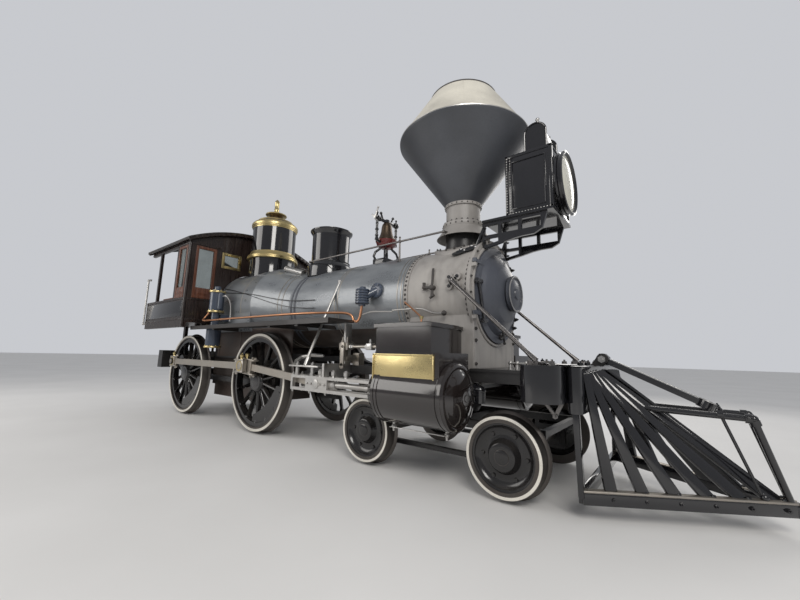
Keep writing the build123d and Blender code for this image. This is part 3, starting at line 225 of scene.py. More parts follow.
def enamel(name, colour, gloss=0.25, dust=0.25, coat=0.0):
    """Brushed-on paint with soft blotches, fine dirt and dust on what faces up."""
    shader = Shader(name)
    blotch = shader.noise(1.7)
    speck = shader.noise(55, detail=6, low=0.5, high=0.8)
    base = shader.mix(blotch, shade(colour, 0.8), shade(colour, 1.18))
    base = shader.mix(speck * 0.25, base, shade(colour, 0.55))
    dusty = shader.topside() * shader.noise(6, low=0.3, high=0.8) * dust
    base = shader.mix(dusty, base, (0.2, 0.18, 0.155))
    roughness = gloss + blotch * 0.08 + speck * 0.08 + dusty * 0.4
    return shader.finish(base, roughness, bump=shader.noise(90) * 0.12 + blotch, depth=0.0005, coat=coat)


def metal(name, colour, gloss=0.28, tarnish=(0.2, 0.14, 0.06), share=0.45, grain=(1, 1, 1)):
    """Bare metal with tarnish in patches and a fine grain along one way."""
    shader = Shader(name)
    patch = shader.noise(3.1, low=0.4, high=0.75)
    line = shader.noise(90, stretch=grain, low=0.3, high=0.7)
    base = shader.mix(patch * share, colour, tarnish)
    base = shader.mix(line * 0.18, base, shade(colour, 0.6))
    roughness = gloss + patch * 0.22 + line * 0.1
    return shader.finish(base, roughness, metallic=1.0 - patch * 0.25, bump=line, depth=0.0004)


def planished_sheet(name):
    """Grey polished sheet iron of the boiler's jacket, with slow ripples, and dark brown without shine below
    the jacket's foot: painted shade on its underside.
    """
    shader = Shader(name)
    ripple = shader.noise(2.3, stretch=(1, 2.5, 2.5))
    fleck = shader.noise(38, detail=6, low=0.45, high=0.85)
    height = shader.node("SeparateXYZ", None, {0: shader.place()}, output="Z")
    # below the foot the jacket turns dark brown and dull: painted shade on its underside
    sheet = height > JACKET_FOOT
    base = shader.mix(ripple, (0.19, 0.203, 0.216), (0.262, 0.277, 0.29))
    base = shader.mix(fleck * 0.2, base, (0.1, 0.108, 0.12))
    base = shader.mix(sheet, shader.mix(ripple, (0.03, 0.022, 0.018), (0.05, 0.037, 0.03)), base)
    roughness = 0.45 - sheet * 0.19 + ripple * 0.08 + fleck * 0.06
    shine = sheet * 0.4
    bump = ripple + fleck * 0.05
    return shader.finish(base, roughness, metallic=shine, bump=bump, depth=0.0018, coat=0.2)


def smokebox_paint(name):
    """Warm light grey heat paint, sooty in streaks that run down."""
    shader = Shader(name)
    cloud = shader.noise(1.9)
    streak = shader.noise(5, stretch=(2.2, 2.2, 0.35), low=0.45, high=0.8)
    base = shader.mix(cloud, (0.27, 0.255, 0.24), (0.37, 0.35, 0.325))
    base = shader.mix(streak * 0.45, base, (0.13, 0.12, 0.11))
    grit = shader.noise(120)
    return shader.finish(base, 0.42 + cloud * 0.12, bump=grit * 0.4 + cloud, depth=0.0012)


def varnished_wood(name, light, dark, gloss=0.3, along="z"):
    """Varnished boards with grain along one axis."""
    shader = Shader(name)
    stretch = {"x": (0.6, 9, 9), "y": (9, 0.6, 9), "z": (9, 9, 0.6)}[along]
    grain = shader.noise(4.5, stretch=stretch, detail=7, low=0.35, high=0.7)
    cloud = shader.noise(1.3)
    base = shader.mix(grain, dark, light)
    base = shader.mix(cloud * 0.35, base, shade(dark, 0.8))
    return shader.finish(base, gloss + grain * 0.15 + cloud * 0.08, bump=grain, depth=0.0009, coat=0.15)


def cast_iron(name, colour, gloss=0.5):
    """Rough cast or forged iron under old paint."""
    shader = Shader(name)
    cloud = shader.noise(2.6)
    sand = shader.noise(75, detail=6)
    base = shader.mix(cloud, shade(colour, 0.75), shade(colour, 1.25))
    base = shader.mix(shader.noise(9, low=0.62, high=0.8) * 0.3, base, (0.1, 0.055, 0.03))
    dusty = shader.topside() * shader.noise(7, low=0.3, high=0.8) * 0.22
    base = shader.mix(dusty, base, (0.19, 0.165, 0.14))
    return shader.finish(base, gloss + sand * 0.18, bump=sand, depth=0.0016)


def window_glass(name):
    """Old window glass, dark and faintly dusty."""
    shader = Shader(name)
    haze = shader.noise(5, low=0.3, high=0.9)
    clear = shader.node("BsdfGlass", None, {"Color": (0.62, 0.65, 0.64), "Roughness": 0.02, "IOR": 1.3})
    film = shader.node("BsdfDiffuse", None, {"Color": (0.16, 0.16, 0.15)})
    surface = shader.node("MixShader", None, {0: haze * 0.22 + 0.1, 1: clear, 2: film})
    shader.node("OutputMaterial", None, {"Surface": surface})
    return shader.material


def lens_glass(name):
    """Cream lens and reflector behind it, in soft cloudy tones."""
    shader = Shader(name)
    cloud = shader.noise(3)
    base = shader.mix(cloud, (0.66, 0.63, 0.5), (0.8, 0.78, 0.66))
    return shader.finish(base, 0.12 + cloud * 0.08, bump=cloud, depth=0.0005, coat=0.9)


FORGED_GRAIN = (0.2, 3, 3)
FINISHES = {
    "planished_sheet": (planished_sheet,),
    "smokebox_paint": (smokebox_paint,),
    "window_glass": (window_glass,),
    "lens_glass": (lens_glass,),
    "gloss_black": (enamel, (0.01, 0.01, 0.012), 0.06, 0.12, 0.7),
    "frame_black": (enamel, (0.02, 0.019, 0.019), 0.28, 0.25),
    # dark slate: colour of the jacket's dark bands, and painted shadow of the headlamp and its shelf on the
    # smokebox door and number disc
    "slate_paint": (enamel, (0.072, 0.078, 0.094), 0.3, 0.2),
    "bowl_paint": (enamel, (0.062, 0.066, 0.075), 0.38, 0.15),
    "cream_paint": (enamel, (0.6, 0.57, 0.49), 0.4, 0.1),
    "tyre_white": (enamel, (0.66, 0.63, 0.56), 0.45, 0.1),
    "firebox_brown": (enamel, (0.052, 0.037, 0.03), 0.4, 0.2),
    "dark_red": (enamel, (0.14, 0.018, 0.015), 0.22, 0.15, 0.4),
    "pump_blue": (enamel, (0.06, 0.075, 0.105), 0.18, 0.15, 0.4),
    "cylinder_black": (enamel, (0.018, 0.014, 0.013), 0.07, 0.12, 0.8),
    "wheel_black": (enamel, (0.012, 0.011, 0.011), 0.14, 0.2, 0.3),
    "rough_iron": (cast_iron, (0.055, 0.05, 0.047), 0.5),
    "brass": (metal, (0.66, 0.54, 0.27), 0.2, (0.32, 0.23, 0.09), 0.5),
    "bronze": (metal, (0.135, 0.098, 0.066), 0.24, (0.05, 0.038, 0.03), 0.6),
    "copper": (metal, (0.72, 0.36, 0.2), 0.28, (0.24, 0.12, 0.07), 0.5),
    "bright_steel": (metal, (0.6, 0.59, 0.57), 0.26, (0.22, 0.19, 0.16), 0.35, FORGED_GRAIN),
    "rod_steel": (metal, (0.44, 0.41, 0.365), 0.34, (0.24, 0.19, 0.14), 0.4, FORGED_GRAIN),
    # polished steel darkened to paint the dark surroundings that it reflects
    "dark_steel": (metal, (0.21, 0.2, 0.195), 0.2, (0.08, 0.06, 0.05), 0.4),
    "tread_steel": (metal, (0.13, 0.12, 0.112), 0.34, (0.07, 0.05, 0.04), 0.5),
    "cab_wood": (varnished_wood, (0.034, 0.023, 0.019), (0.016, 0.01, 0.009), 0.2),
    "cab_roof": (varnished_wood, (0.04, 0.036, 0.034), (0.022, 0.019, 0.018), 0.45, "y"),
    "board_wood": (varnished_wood, (0.03, 0.025, 0.022), (0.015, 0.012, 0.011), 0.36, "x"),
    "mahogany": (varnished_wood, (0.175, 0.068, 0.036), (0.085, 0.03, 0.018), 0.22),
}
PAINTED = {}
COATED_NODES = {
    "frame_black": "main_frame drag_beam front_deck coupling_bracket cylinder_saddle bogie_frame",
    "rough_iron": "driving_boxes driver_springs fire_door blast_pipe petticoat_pipe",
    "gloss_black": "bumper_beam pilot coupling_bar steam_dome sand_dome headlamp headlamp_shelf",
    "smokebox_paint": "smokebox stack_foot",
    # the smokebox door's dark slate is painted shadow from the headlamp and its shelf above it
    "slate_paint": "smokebox_door",
    "planished_sheet": "boiler_barrel firebox",
    "firebox_brown": "ashpan",
    "bowl_paint": "smokestack",
    "cream_paint": "stack_top_cone",
    "dark_red": "bell_stand",
    "bronze": "bell",
    "bright_steel": "guides crosshead_right crosshead_left",
    "board_wood": "running_boards",
    "cab_wood": "cab_floor cab_front_wall cab_sides",
    "cab_roof": "cab_roof",
    "mahogany": "cab_seats",
    "pump_blue": "air_pump",
    # braces in polished steel darkened as a painted dark reflection
    "dark_steel": "smokebox_braces",
    "rod_steel": "valve_rods main_rod_right main_rod_left side_rod_right side_rod_left",
    "wheel_black": "main_driver_wheels rear_driver_wheels bogie_wheels_rear bogie_wheels_front",
    "tread_steel": "main_driver_axle rear_driver_axle bogie_axle_rear bogie_axle_front",
    "cylinder_black": "cylinder_right cylinder_left",
}
NODE_FINISH = {node: coat for coat, nodes in COATED_NODES.items() for node in nodes.split()}


def finish(name):
    """Finish of that name, made once."""
    if name not in PAINTED:
        maker, *settings = FINISHES[name]
        PAINTED[name] = maker(name, *settings)
    return PAINTED[name]


def settle(piece, coat, body="root"):
    """Put a piece in the scene with its finish, on its body and in its slot."""
    bpy.context.scene.collection.objects.link(piece)
    piece.data.materials.append(finish(coat))
    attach(piece, body)
    return piece


def pipe(name, points, radius, coat):
    """Round pipe through points, with smooth bends."""
    line = bpy.data.curves.new(name, "CURVE")
    line.dimensions = "3D"
    line.bevel_depth = radius
    line.bevel_resolution = 3
    line.resolution_u = 8
    line.use_fill_caps = True
    run = line.splines.new("NURBS")
    run.points.add(len(points) - 1)
    for point, place in zip(run.points, points):
        point.co = (*place, 1)
    run.order_u = 3
    run.use_endpoint_u = True
    settle(bpy.data.objects.new(name, line), coat)


class Piece:
    """Mesh under the hand, in metres in the frame's own space."""

    def __init__(self):
        self.mesh = bmesh.new()

    def turned(self, profile, centre, axis, steps=64, closed=None):
        """Turn a profile of radius and distance along the axis; off the axis it is a closed ring."""
        way = Vector(axis).normalized()
        out = way.orthogonal().normalized()
        centre = Vector(centre)
        verts = [self.mesh.verts.new(centre + out * radius + way * along) for radius, along in profile]
        pairs = list(zip(verts, verts[1:]))
        if closed is None:
            closed = profile[0][0] > 0
        if closed:
            pairs.append((verts[-1], verts[0]))
        edges = [self.mesh.edges.new(pair) for pair in pairs]
        bmesh.ops.spin(self.mesh, geom=verts + edges, cent=centre, axis=way, angle=math.tau,
                       steps=steps, use_merge=True)
        return self

    def lathe(self, profile, centre, axis, steps=64, closed=None):
        """Turn a profile given in millimetres."""
        metres = [(radius * MM, along * MM) for radius, along in profile]
        return self.turned(metres, centre, axis, steps, closed)

    def ring(self, radius, width, height, centre, axis, steps=64):
        """Flat ring whose section is width outwards by height along the axis."""
        profile = [(radius, 0), (radius + width, 0), (radius + width, height), (radius, height)]
        return self.turned(profile, centre, axis, steps)

    def rod(self, start, end, radius, tip=None, sides=20):
        """Round rod between two points, tapering to tip."""
        start, end = Vector(start), Vector(end)
        run = end - start
        place = Matrix.Translation((start + end) / 2) @ run.to_track_quat("Z", "Y").to_matrix().to_4x4()
        bmesh.ops.create_cone(self.mesh, cap_ends=True, segments=sides, radius1=radius,
                              radius2=radius if tip is None else tip, depth=run.length, matrix=place)
        return self

    def soften(self, verts, edge):
        """Round the edges that meet at these corners."""
        if edge:
            edges = {link for vert in verts for link in vert.link_edges}
            bmesh.ops.bevel(self.mesh, geom=list(edges), offset=edge, segments=2,
                            profile=0.5, affect="EDGES", material=-1, clamp_overlap=True)
        return self

    def block(self, corner, opposite, edge=0.004):
        """Square block between any two opposite corners, with softened edges."""
        low, high = Vector(map(min, corner, opposite)), Vector(map(max, corner, opposite))
        size = Matrix.Diagonal((*(high - low), 1))
        made = bmesh.ops.create_cube(self.mesh, size=1, matrix=Matrix.Translation((low + high) / 2) @ size)
        return self.soften(made["verts"], edge)

    def bar(self, start, end, width, thickness, across, edge=0.003, tip=None):
        """Flat bar between two points, its width along across, tapering to tip."""
        start, end = Vector(start), Vector(end)
        way = (end - start).normalized()
        flat = (Vector(across) - way * way.dot(Vector(across))).normalized()
        turn = Matrix((flat, way.cross(flat), way)).transposed().to_4x4()
        size = Matrix.Diagonal((width, thickness, (end - start).length, 1))
        place = Matrix.Translation((start + end) / 2) @ turn @ size
        made = bmesh.ops.create_cube(self.mesh, size=1, matrix=place)
        for vert in made["verts"]:
            if tip and (vert.co - end).length < (vert.co - start).length:
                vert.co += flat * (vert.co - end).dot(flat) * (tip / width - 1)
        return self.soften(made["verts"], edge)

    def plate(self, corners, push):
        """Plate from its corners, pushed along a vector."""
        face = self.mesh.faces.new([self.mesh.verts.new(corner) for corner in corners])
        made = bmesh.ops.extrude_face_region(self.mesh, geom=[face], use_keep_orig=True)
        moved = [item for item in made["geom"] if isinstance(item, bmesh.types.BMVert)]
        bmesh.ops.translate(self.mesh, verts=moved, vec=push)
        return self

    def ball(self, centre, radius, squash=(1, 1, 1), detail=16):
        """Ball, flattened along the axes by squash."""
        place = Matrix.Translation(centre) @ Matrix.Diagonal((*squash, 1))
        bmesh.ops.create_uvsphere(self.mesh, u_segments=detail, v_segments=detail // 2, radius=radius,
                                  matrix=place)
        return self

    def rivet(self, centre, out, radius=0.009):
        """Low round rivet head."""
        turn = Vector(out).to_track_quat("Z", "Y").to_matrix().to_4x4()
        place = Matrix.Translation(centre) @ turn @ Matrix.Diagonal((1, 1, 0.6, 1))
        bmesh.ops.create_icosphere(self.mesh, subdivisions=2, radius=radius, matrix=place)
        return self

    def bolt(self, centre, out, radius=0.012, height=0.012):
        """Hexagon nut with the end of its stud."""
        centre, out = Vector(centre), Vector(out).normalized()
        self.rod(centre, centre + out * height, radius, radius * 0.94, sides=6)
        return self.rod(centre, centre + out * height * 1.6, radius * 0.5, radius * 0.4, sides=8)

    def done(self, name, coat="gloss_black", body="root", replaces=()):
        """Make it a named piece with its finish, on its body."""
        bmesh.ops.remove_doubles(self.mesh, verts=self.mesh.verts, dist=0.00002)
        bmesh.ops.recalc_face_normals(self.mesh, faces=self.mesh.faces)
        shape = bpy.data.meshes.new(name)
        self.mesh.to_mesh(shape)
        self.mesh.free()
        shape.shade_smooth()
        shape.set_sharp_from_angle(angle=math.radians(38))
        piece = settle(bpy.data.objects.new(name, shape), coat, body)
        if replaces:
            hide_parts(*replaces)


class LocomotiveSizes(bpy.types.PropertyGroup):
    """Sizes of the fittings that someone dressing the engine would change"""
    rivet: bpy.props.FloatProperty(
        name="Rivet", description="Radius of a rivet head", default=0.0105, unit="LENGTH")
    smokebox_radius: bpy.props.FloatProperty(
        name="Smokebox", description="Radius of the smokebox wrapper", default=0.56, unit="LENGTH")
    spokes: bpy.props.IntProperty(name="Spokes", description="Spokes in a driving wheel", default=14)
    band: bpy.props.FloatProperty(
        name="Band", description="Width of a band round the jacket", default=0.03, unit="LENGTH")


class LocomotiveView(bpy.types.PropertyGroup):
    """Camera and light"""
    lens: bpy.props.FloatProperty(name="Lens", description="Focal length in millimetres", default=16.36)
    place: bpy.props.FloatVectorProperty(
        name="Place", description="Where the camera stands",
        default=(3.908, -3.736, 1.135), subtype="TRANSLATION")
    heading: bpy.props.FloatProperty(
        name="Heading", description="Way the camera looks, from +X to +Y",
        default=math.radians(128.18), subtype="ANGLE")
    tilt: bpy.props.FloatProperty(
        name="Tilt", description="How far the camera looks up", default=math.radians(8.63), subtype="ANGLE")
    roll: bpy.props.FloatProperty(
        name="Roll", description="How far the camera leans", default=math.radians(1.453), subtype="ANGLE")
    sky: bpy.props.FloatProperty(
        name="Sky", description="Strength of the soft light all round", default=0.56)
    dim: bpy.props.FloatProperty(
        name="Dim", description="How much less of the sky shines in gloss", default=0.24)
    backdrop: bpy.props.FloatProperty(
        name="Backdrop", description="Paleness behind the engine", default=0.62)
    key: bpy.props.FloatProperty(name="Key", description="Strength of the large lamp", default=500.0)


class LOCO_OT_node_finishes(bpy.types.Operator):
    """Give every solid of the frame its finish"""
    bl_idname = "loco.node_finishes"
    bl_label = "Finish the solids"

    def execute(self, context):
        for name, node in NODES.items():
            node.data.materials.clear()
            node.data.materials.append(finish(NODE_FINISH[name]))
        return {"FINISHED"}


class LOCO_OT_smokebox(bpy.types.Operator):
    """Rivet rows, bolts, door hinge, dogs, number disc, braces and cocks of the smokebox"""
    bl_idname = "loco.smokebox"
    bl_label = "Smokebox fittings"

    def execute(self, context):
        sizes = context.scene.loco_sizes
        radius = sizes.smokebox_radius
        plate = Vector((SMOKE_HIGH.x - 0.046, 0, BOILER_Z))
        rear = Vector((SMOKE_LOW.x, 0, BOILER_Z))
        rivets = Piece()
        for row, lift in ((rear + X * 0.03, 0.008), (plate - X * 0.064, 0)):
            for angle in around(46, -32, 212):
                rivets.rivet(polar(row, radius + lift, angle, Y, Z), ray(angle, Y, Z), sizes.rivet * 1.5)
        rivets.done("smokebox_rivets", "rough_iron")
        bolts = Piece()
        for angle in around(14, -20, 200):
            bolts.bolt(polar(plate, 0.59, angle, Y, Z), X, 0.013)
        for side in SIGNS:
            for height in (1.385, 1.27, 1.045, 0.905):
                bolts.bolt((plate.x, side * 0.484, RAIL_TOP + height), X, 0.018, 0.014)
            bolts.bolt((plate.x, side * 0.39, SMOKE_LOW.z + 0.03), X, 0.018, 0.014)
        bolts.done("smokebox_plate_bolts", "rough_iron")
        trim = Piece()
        trim.lathe([(525, 0), (556, 0), (556, 10), (550, 16), (532, 16), (525, 10)], plate, X, 96)
        trim.ring(radius - 0.002, 0.011, 0.055, rear + X * 0.002, X, 96)
        trim.ring(radius - 0.002, 0.606 - radius, 0.019, plate - X * 0.04, X, 96)
        trim.done("smokebox_rings", "smokebox_paint")
        self.door(plate)
        self.braces(radius)
        self.cocks(radius)
        return {"FINISHED"}

    def door(self, plate):
        """Number disc, hinge bar and dogs on the door and round it."""
        face = Vector((BOX["smokebox_door"][1].x, 0, BOILER_Z))
        disc = [(0, -4), (192, -4), (196, 4), (196, 12), (178, 14), (172, 7), (150, 7), (144, 12), (62, 16),
                (55, 30), (0, 34)]
        # the disc's dark slate is painted shadow of the headlamp and its shelf
        Piece().lathe(disc, face, X, 72).done("door_number_disc", "slate_paint", "smokebox_door")
        rim = Piece().ring(0.178, 0.014, 0.008, face + X * 0.01, X, 72)
        rim.done("door_disc_rim", "bright_steel", "smokebox_door")
        top = Vector((plate.x + 0.05, -0.5, RAIL_TOP + 1.85))
        low = Vector((plate.x + 0.05, -0.385, RAIL_TOP + 1.47))
        hinge = Piece().bar(top, low, 0.036, 0.024, Y, 0.007)
        for spot, size in ((top, 1.0), (low, 0.85)):
            for y in (-0.034, 0, 0.034):
                knuckle = spot + Y * y * size
                hinge.rod(knuckle - X * 0.02, knuckle + X * 0.02, 0.025 * size, 0.021 * size, 16)
            hinge.bar(spot + Y * 0.055 * size, spot - Y * 0.055 * size, 0.054 * size, 0.026, Z, 0.01)
            hinge.rod(spot - X * 0.03, spot, 0.012, sides=12)
        hinge.done("door_hinge_bar", "gloss_black", "smokebox_door")
        dogs = Piece()
        for angle in (42, 28, -24, -37):
            out = ray(angle, Y, Z)
            spot = plate + X * 0.028 + out * 0.526
            dogs.bar(spot + out * 0.034, spot - out * 0.04, 0.04, 0.024, out.cross(X), 0.006)
            dogs.bolt(spot + out * 0.012 + X * 0.008, X, 0.018, 0.024)
        latch = plate + Vector((0.062, 0.02, -0.45))
        dogs.rod(latch - X * 0.03, latch + X * 0.03, 0.026, 0.02, 16)
        for angle in around(4, 20, 380):
            tip = polar(latch + X * 0.018, 0.07, angle, Y, Z)
            dogs.rod(latch + X * 0.018, tip, 0.012, 0.01, 12).ball(tip, 0.017, detail=12)
        dogs.done("smokebox_door_dogs", "frame_black", "smokebox_door")

    def braces(self, radius):
        """Forged rods from the pale castings on the smokebox's sides down to the beam."""
        rods, castings, heads = Piece(), Piece(), Piece()
        for side in SIGNS:
            out = Y * side
            seat = at(3.063, side * (radius - 0.012), 1.86)
            top = seat + out * 0.072
            foot = Vector((BEAM_LOW.x + 0.06, side * 0.72, BEAM_HIGH.z + 0.018))
            way = (foot - top).normalized()
            rods.rod(top + way * 0.05, foot - way * 0.05, 0.018)
            rods.rod(top, top + way * 0.1, 0.026, 0.018)
            rods.rod(foot - way * 0.13, foot - way * 0.02, 0.018, 0.026)
            rods.ball(top, 0.031)
            rods.block(foot - Vector((0.055, 0.04, 0.018)), foot + Vector((0.055, 0.04, 0.008)), 0.006)
            castings.rod(seat, seat + out * 0.04, 0.05, 0.046, 32)
            castings.rod(seat + out * 0.03, top + out * 0.004, 0.024, 0.03, 24)
            for angle in around(4, 45, 405):
                lobe = polar(seat, 0.066, angle, X, Z)
                castings.rod(lobe - out * 0.02, lobe + out * 0.04, 0.043, 0.038, 24)
                heads.bolt(lobe + out * 0.038, out, 0.02, 0.01)
            for end in (-0.036, 0.036):
                heads.bolt(foot + X * end + Z * 0.006, Z, 0.014, 0.016)
        rods.done("smokebox_brace_rods", "dark_steel", replaces=["smokebox_braces"])
        castings.done("smokebox_brace_castings", "smokebox_paint")
        heads.done("smokebox_brace_bolts")

    def cocks(self, radius):
        """Cock with its lever and spouts on the right side, and the ball end of the side pipe."""
        body = at(2.818, -radius + 0.005, 1.815)
        elbow = body + Vector((-0.108, -0.028, 0.01))
        spout = body + Vector((0, -0.036, -0.095))
        mouth = Vector((0.026, 0, 0.014))
        cocks = Piece().rod(body + Y * 0.03, body - Y * 0.05, 0.03, 0.022, 16).ball(body - Y * 0.046, 0.03)
        cocks.bar(body - Y * 0.04, body + Vector((-0.038, 0.04, 0.225)), 0.026, 0.012, X)
        cocks.rod(body - Y * 0.046, elbow, 0.015, 0.013, 12).ball(elbow, 0.022)
        cocks.rod(elbow + Z * 0.052, elbow - Z * 0.03, 0.018, 0.013, 12)
        cocks.rod(body - Y * 0.036, spout, 0.013, 0.018, 12)
        cocks.rod(spout + mouth, spout - mouth, 0.013, 0.013, 12)
        cocks.ball(at(2.945, -0.56, 1.544), 0.028)
        cocks.done("smokebox_side_cock", "rough_iron")


class LOCO_OT_boiler_bands(bpy.types.Operator):
    """Bright bands and dark bands round the jacket, and the brown sheets under the boards"""
    bl_idname = "loco.boiler_bands"
    bl_label = "Boiler bands"

    def execute(self, context):
        width = context.scene.loco_sizes.band
        bands, nuts = Piece(), Piece()
        for place in (2.33, 2.382, 1.291, 1.345, 0.055, 0.15, -0.861, -1.56):
            self.band(bands, place, width * 0.45, 0.003)
            for side in SIGNS:
                angle = 90 + side * 118
                nuts.bolt(skin(place + width * 0.22, angle, 0.003), ray(angle, Y, Z), 0.01, 0.01)
        bands.done("jacket_bands", "rod_steel")
        nuts.done("jacket_band_nuts", "bright_steel")
        dark = Piece()
        for place in (0.345, 0.425):
            self.band(dark, place, 0.04, 0.005)
        dark.done("jacket_dark_bands", "slate_paint")
        sheets = Piece()
        for side in SIGNS:
            sheets.block(at(-1.64, side * 0.612, 1.02), at(0.52, side * 0.618, 1.468), 0.002)
            for place in (-1.6, -0.9, -0.3, 0.48):
                sheets.block(at(place, side * 0.606, 1.022), at(place + 0.03, side * 0.624, 1.466), 0.002)
        sheets.done("side_sheets", "firebox_brown")
        return {"FINISHED"}

    def band(self, piece, place, width, lift):
        """Band that follows the jacket, on the taper too."""
        top, low = skin(place, 90), skin(place, 270)
        radius = (top.z - low.z) / 2
        profile = [(radius - 0.004, 0), (radius + lift, 0.002), (radius + lift, width - 0.002),
                   (radius - 0.004, width)]
        piece.turned(profile, (top + low) / 2, X, 120)


class LOCO_OT_stack(bpy.types.Operator):
    """Balloon stack: slate bowl, cream cone with its rim and seam, riveted neck, hollow flare and saddle"""
    bl_idname = "loco.stack"
    bl_label = "Stack"
    neck, wall = 0.207, 0.01
    flare = [(205, 2655), (241, 2655), (244, 2640), (243, 2612), (238, 2600), (248, 2575), (270, 2535),
             (294, 2500), (308, 2484), (313, 2475), (303, 2475), (294, 2486), (260, 2530), (232, 2580),
             (205, 2590)]

    def execute(self, context):
        axis = over("smokestack", -RAIL_TOP)
        neck, wall = self.neck, self.wall
        wide, ring_z = BOX["smokestack"][1].yz
        top_z = BOX["stack_top_cone"][1].z
        collar_z, neck_z = BOX["smokestack"][0].z, RAIL_TOP + 2.89

        def part(name, coat, profile, steps, replaces=()):
            Piece().turned(profile, axis, Z, steps).done(name, coat, replaces=replaces)

        part("stack_bowl", "bowl_paint", [
            (neck + 0.002, neck_z - 0.012), (neck + 0.01, neck_z + 0.006), (wide - 0.01, ring_z - 0.03),
            (wide - 0.002, ring_z - 0.018), (wide - 0.002, ring_z - 0.002), (wide - 0.022, ring_z),
            (wide - 0.03, ring_z - 0.03), (neck - wall, neck_z + 0.01), (neck - wall, neck_z - 0.012),
        ], 128, ["smokestack"])
        part("stack_ring_edge", "bright_steel", [
            (wide - 0.018, ring_z - 0.008), (wide - 0.001, ring_z - 0.008), (wide, ring_z + 0.002),
            (wide - 0.018, ring_z + 0.005)], 128)
        part("stack_cream_cone", "cream_paint", [
            (wide - 0.02, ring_z), (wide - 0.014, ring_z + 0.006), (0.415, top_z - 0.018),
            (0.4, top_z - 0.018), (wide - 0.05, ring_z - 0.006)], 128, ["stack_top_cone"])
        part("stack_lip", "rough_iron", [
            (0.398, top_z - 0.022), (0.414, top_z - 0.022), (0.417, top_z - 0.006), (0.415, top_z),
            (0.396, top_z)], 96)
        way = ray(-62, X, Y)
        seam = Piece().bar(axis + way * (wide - 0.018) + Z * (ring_z + 0.005),
                           axis + way * 0.414 + Z * (top_z - 0.02), 0.016, 0.008, way.cross(Z))
        seam.done("stack_cone_seam", "cream_paint")
        base = Piece()
        base.turned([
            (neck - 0.006, collar_z), (neck - 0.006, neck_z - 0.034), (neck + 0.012, neck_z - 0.032),
            (neck + 0.012, neck_z), (neck - wall, neck_z), (neck - wall, collar_z)], axis, Z, 96)
        base.lathe(self.flare, over("smokestack"), Z, 96)
        base.done("stack_neck_and_flare", "smokebox_paint", replaces=["stack_foot"])
        # black drum inside the flare: painted shade in the hollow under the flare's overhang
        drum_z, drum_top = BOILER_Z + 0.52, RAIL_TOP + 2.6
        part("stack_drum", "frame_black", [
            (neck - wall, drum_z), (neck, drum_z), (neck, drum_top), (neck - wall, drum_top)], 96)
        self.saddle(context.scene.loco_sizes.smokebox_radius, axis)
        bolts, studs = Piece(), Piece()
        for angle in around(22):
            out = ray(angle, X, Y)
            bolts.bolt(axis + out * 0.225 + Z * collar_z, Z, 0.012, 0.014)
            bolts.rivet(axis + out * 0.243 + Z * (RAIL_TOP + 2.626), out, 0.01)
            bolts.rivet(axis + out * (neck + 0.012) + Z * (neck_z - 0.016), out)
        bolts.done("stack_bolts", "rough_iron")
        for angle in around(48):
            out = ray(angle, X, Y)
            studs.rivet(axis + out * (wide - 0.008) + Z * (ring_z - 0.022), out, 0.006)
        studs.done("stack_ring_rivets", "bowl_paint")
        return {"FINISHED"}

    def saddle(self, radius, axis):
        """Bolted flange that follows the round top of the smokebox."""
        wide, inner = BOX["stack_foot"][1].y, self.neck - 0.004
        flange = Piece().turned([(inner, 0), (0.27, 0), (wide, 0), (wide, 0.034), (wide - 0.006, 0.04),
                                 (0.27, 0.04), (inner, 0.04)], axis, Z, 96)
        for vert in flange.mesh.verts:
            vert.co.z += round_top(radius - 0.002, vert.co.y)
        flange.done("stack_saddle", "smokebox_paint")
        bolts = Piece()
        for angle in around(18):
            spot = polar(axis, wide - 0.03, angle, X, Y)
            spot.z = round_top(radius + 0.036, spot.y)
            bolts.bolt(spot, spot - Vector((spot.x, 0, BOILER_Z)), 0.013, 0.014)
        bolts.done("stack_saddle_bolts", "rough_iron")


class LOCO_OT_steam_dome(bpy.types.Operator):
    """Steam dome: black body on its skirt, brass base ring, cornice, low cap, saucer and finial"""
    bl_idname = "loco.steam_dome"
    bl_label = "Steam dome"
    parts = (
        ("skirt", "gloss_black", [(0, 2420), (405, 2420), (400, 2600), (397, 2700), (404, 2766), (0, 2766)]),
        ("base_ring", "brass", [
            (370, 2762), (440, 2762), (450, 2772), (450, 2784), (441, 2790), (446, 2800), (444, 2814),
            (432, 2822), (428, 2838), (412, 2852), (408, 2868), (396, 2884), (392, 2900), (386, 2904),
            (370, 2904)]),
        ("body", "gloss_black", [(0, 2890), (385, 2890), (385, 3375), (0, 3375)]),
        ("cornice", "brass", [
            (0, 3352), (391, 3352), (393, 3368), (404, 3376), (403, 3390), (413, 3400), (413, 3436),
            (402, 3448), (398, 3460), (384, 3466), (380, 3478), (0, 3482)]),
        ("cap", "bronze", [
            (0, 3470), (374, 3470), (372, 3480), (345, 3500), (305, 3526), (250, 3560), (190, 3590),
            (140, 3610), (122, 3618), (116, 3644), (110, 3662), (0, 3662)]),
        ("cap_ring", "brass", [(300, 3520), (318, 3514), (322, 3524), (312, 3536), (296, 3538)]),
        ("finial", "brass", [
            (0, 3655), (100, 3655), (130, 3663), (190, 3671), (194, 3680), (188, 3690), (120, 3693),
            (70, 3703), (58, 3716), (60, 3740), (47, 3748), (42, 3780), (46, 3800), (40, 3812), (41, 3930),
            (45, 3940), (36, 3968), (20, 3990), (0, 4007)]),
    )

    def execute(self, context):
        for name, coat, profile in self.parts:
            replaces = ["steam_dome"] if name == "skirt" else ()
            dome = Piece().lathe(profile, over("steam_dome"), Z, 96)
            dome.done(f"steam_dome_{name}", coat, replaces=replaces)
        return {"FINISHED"}


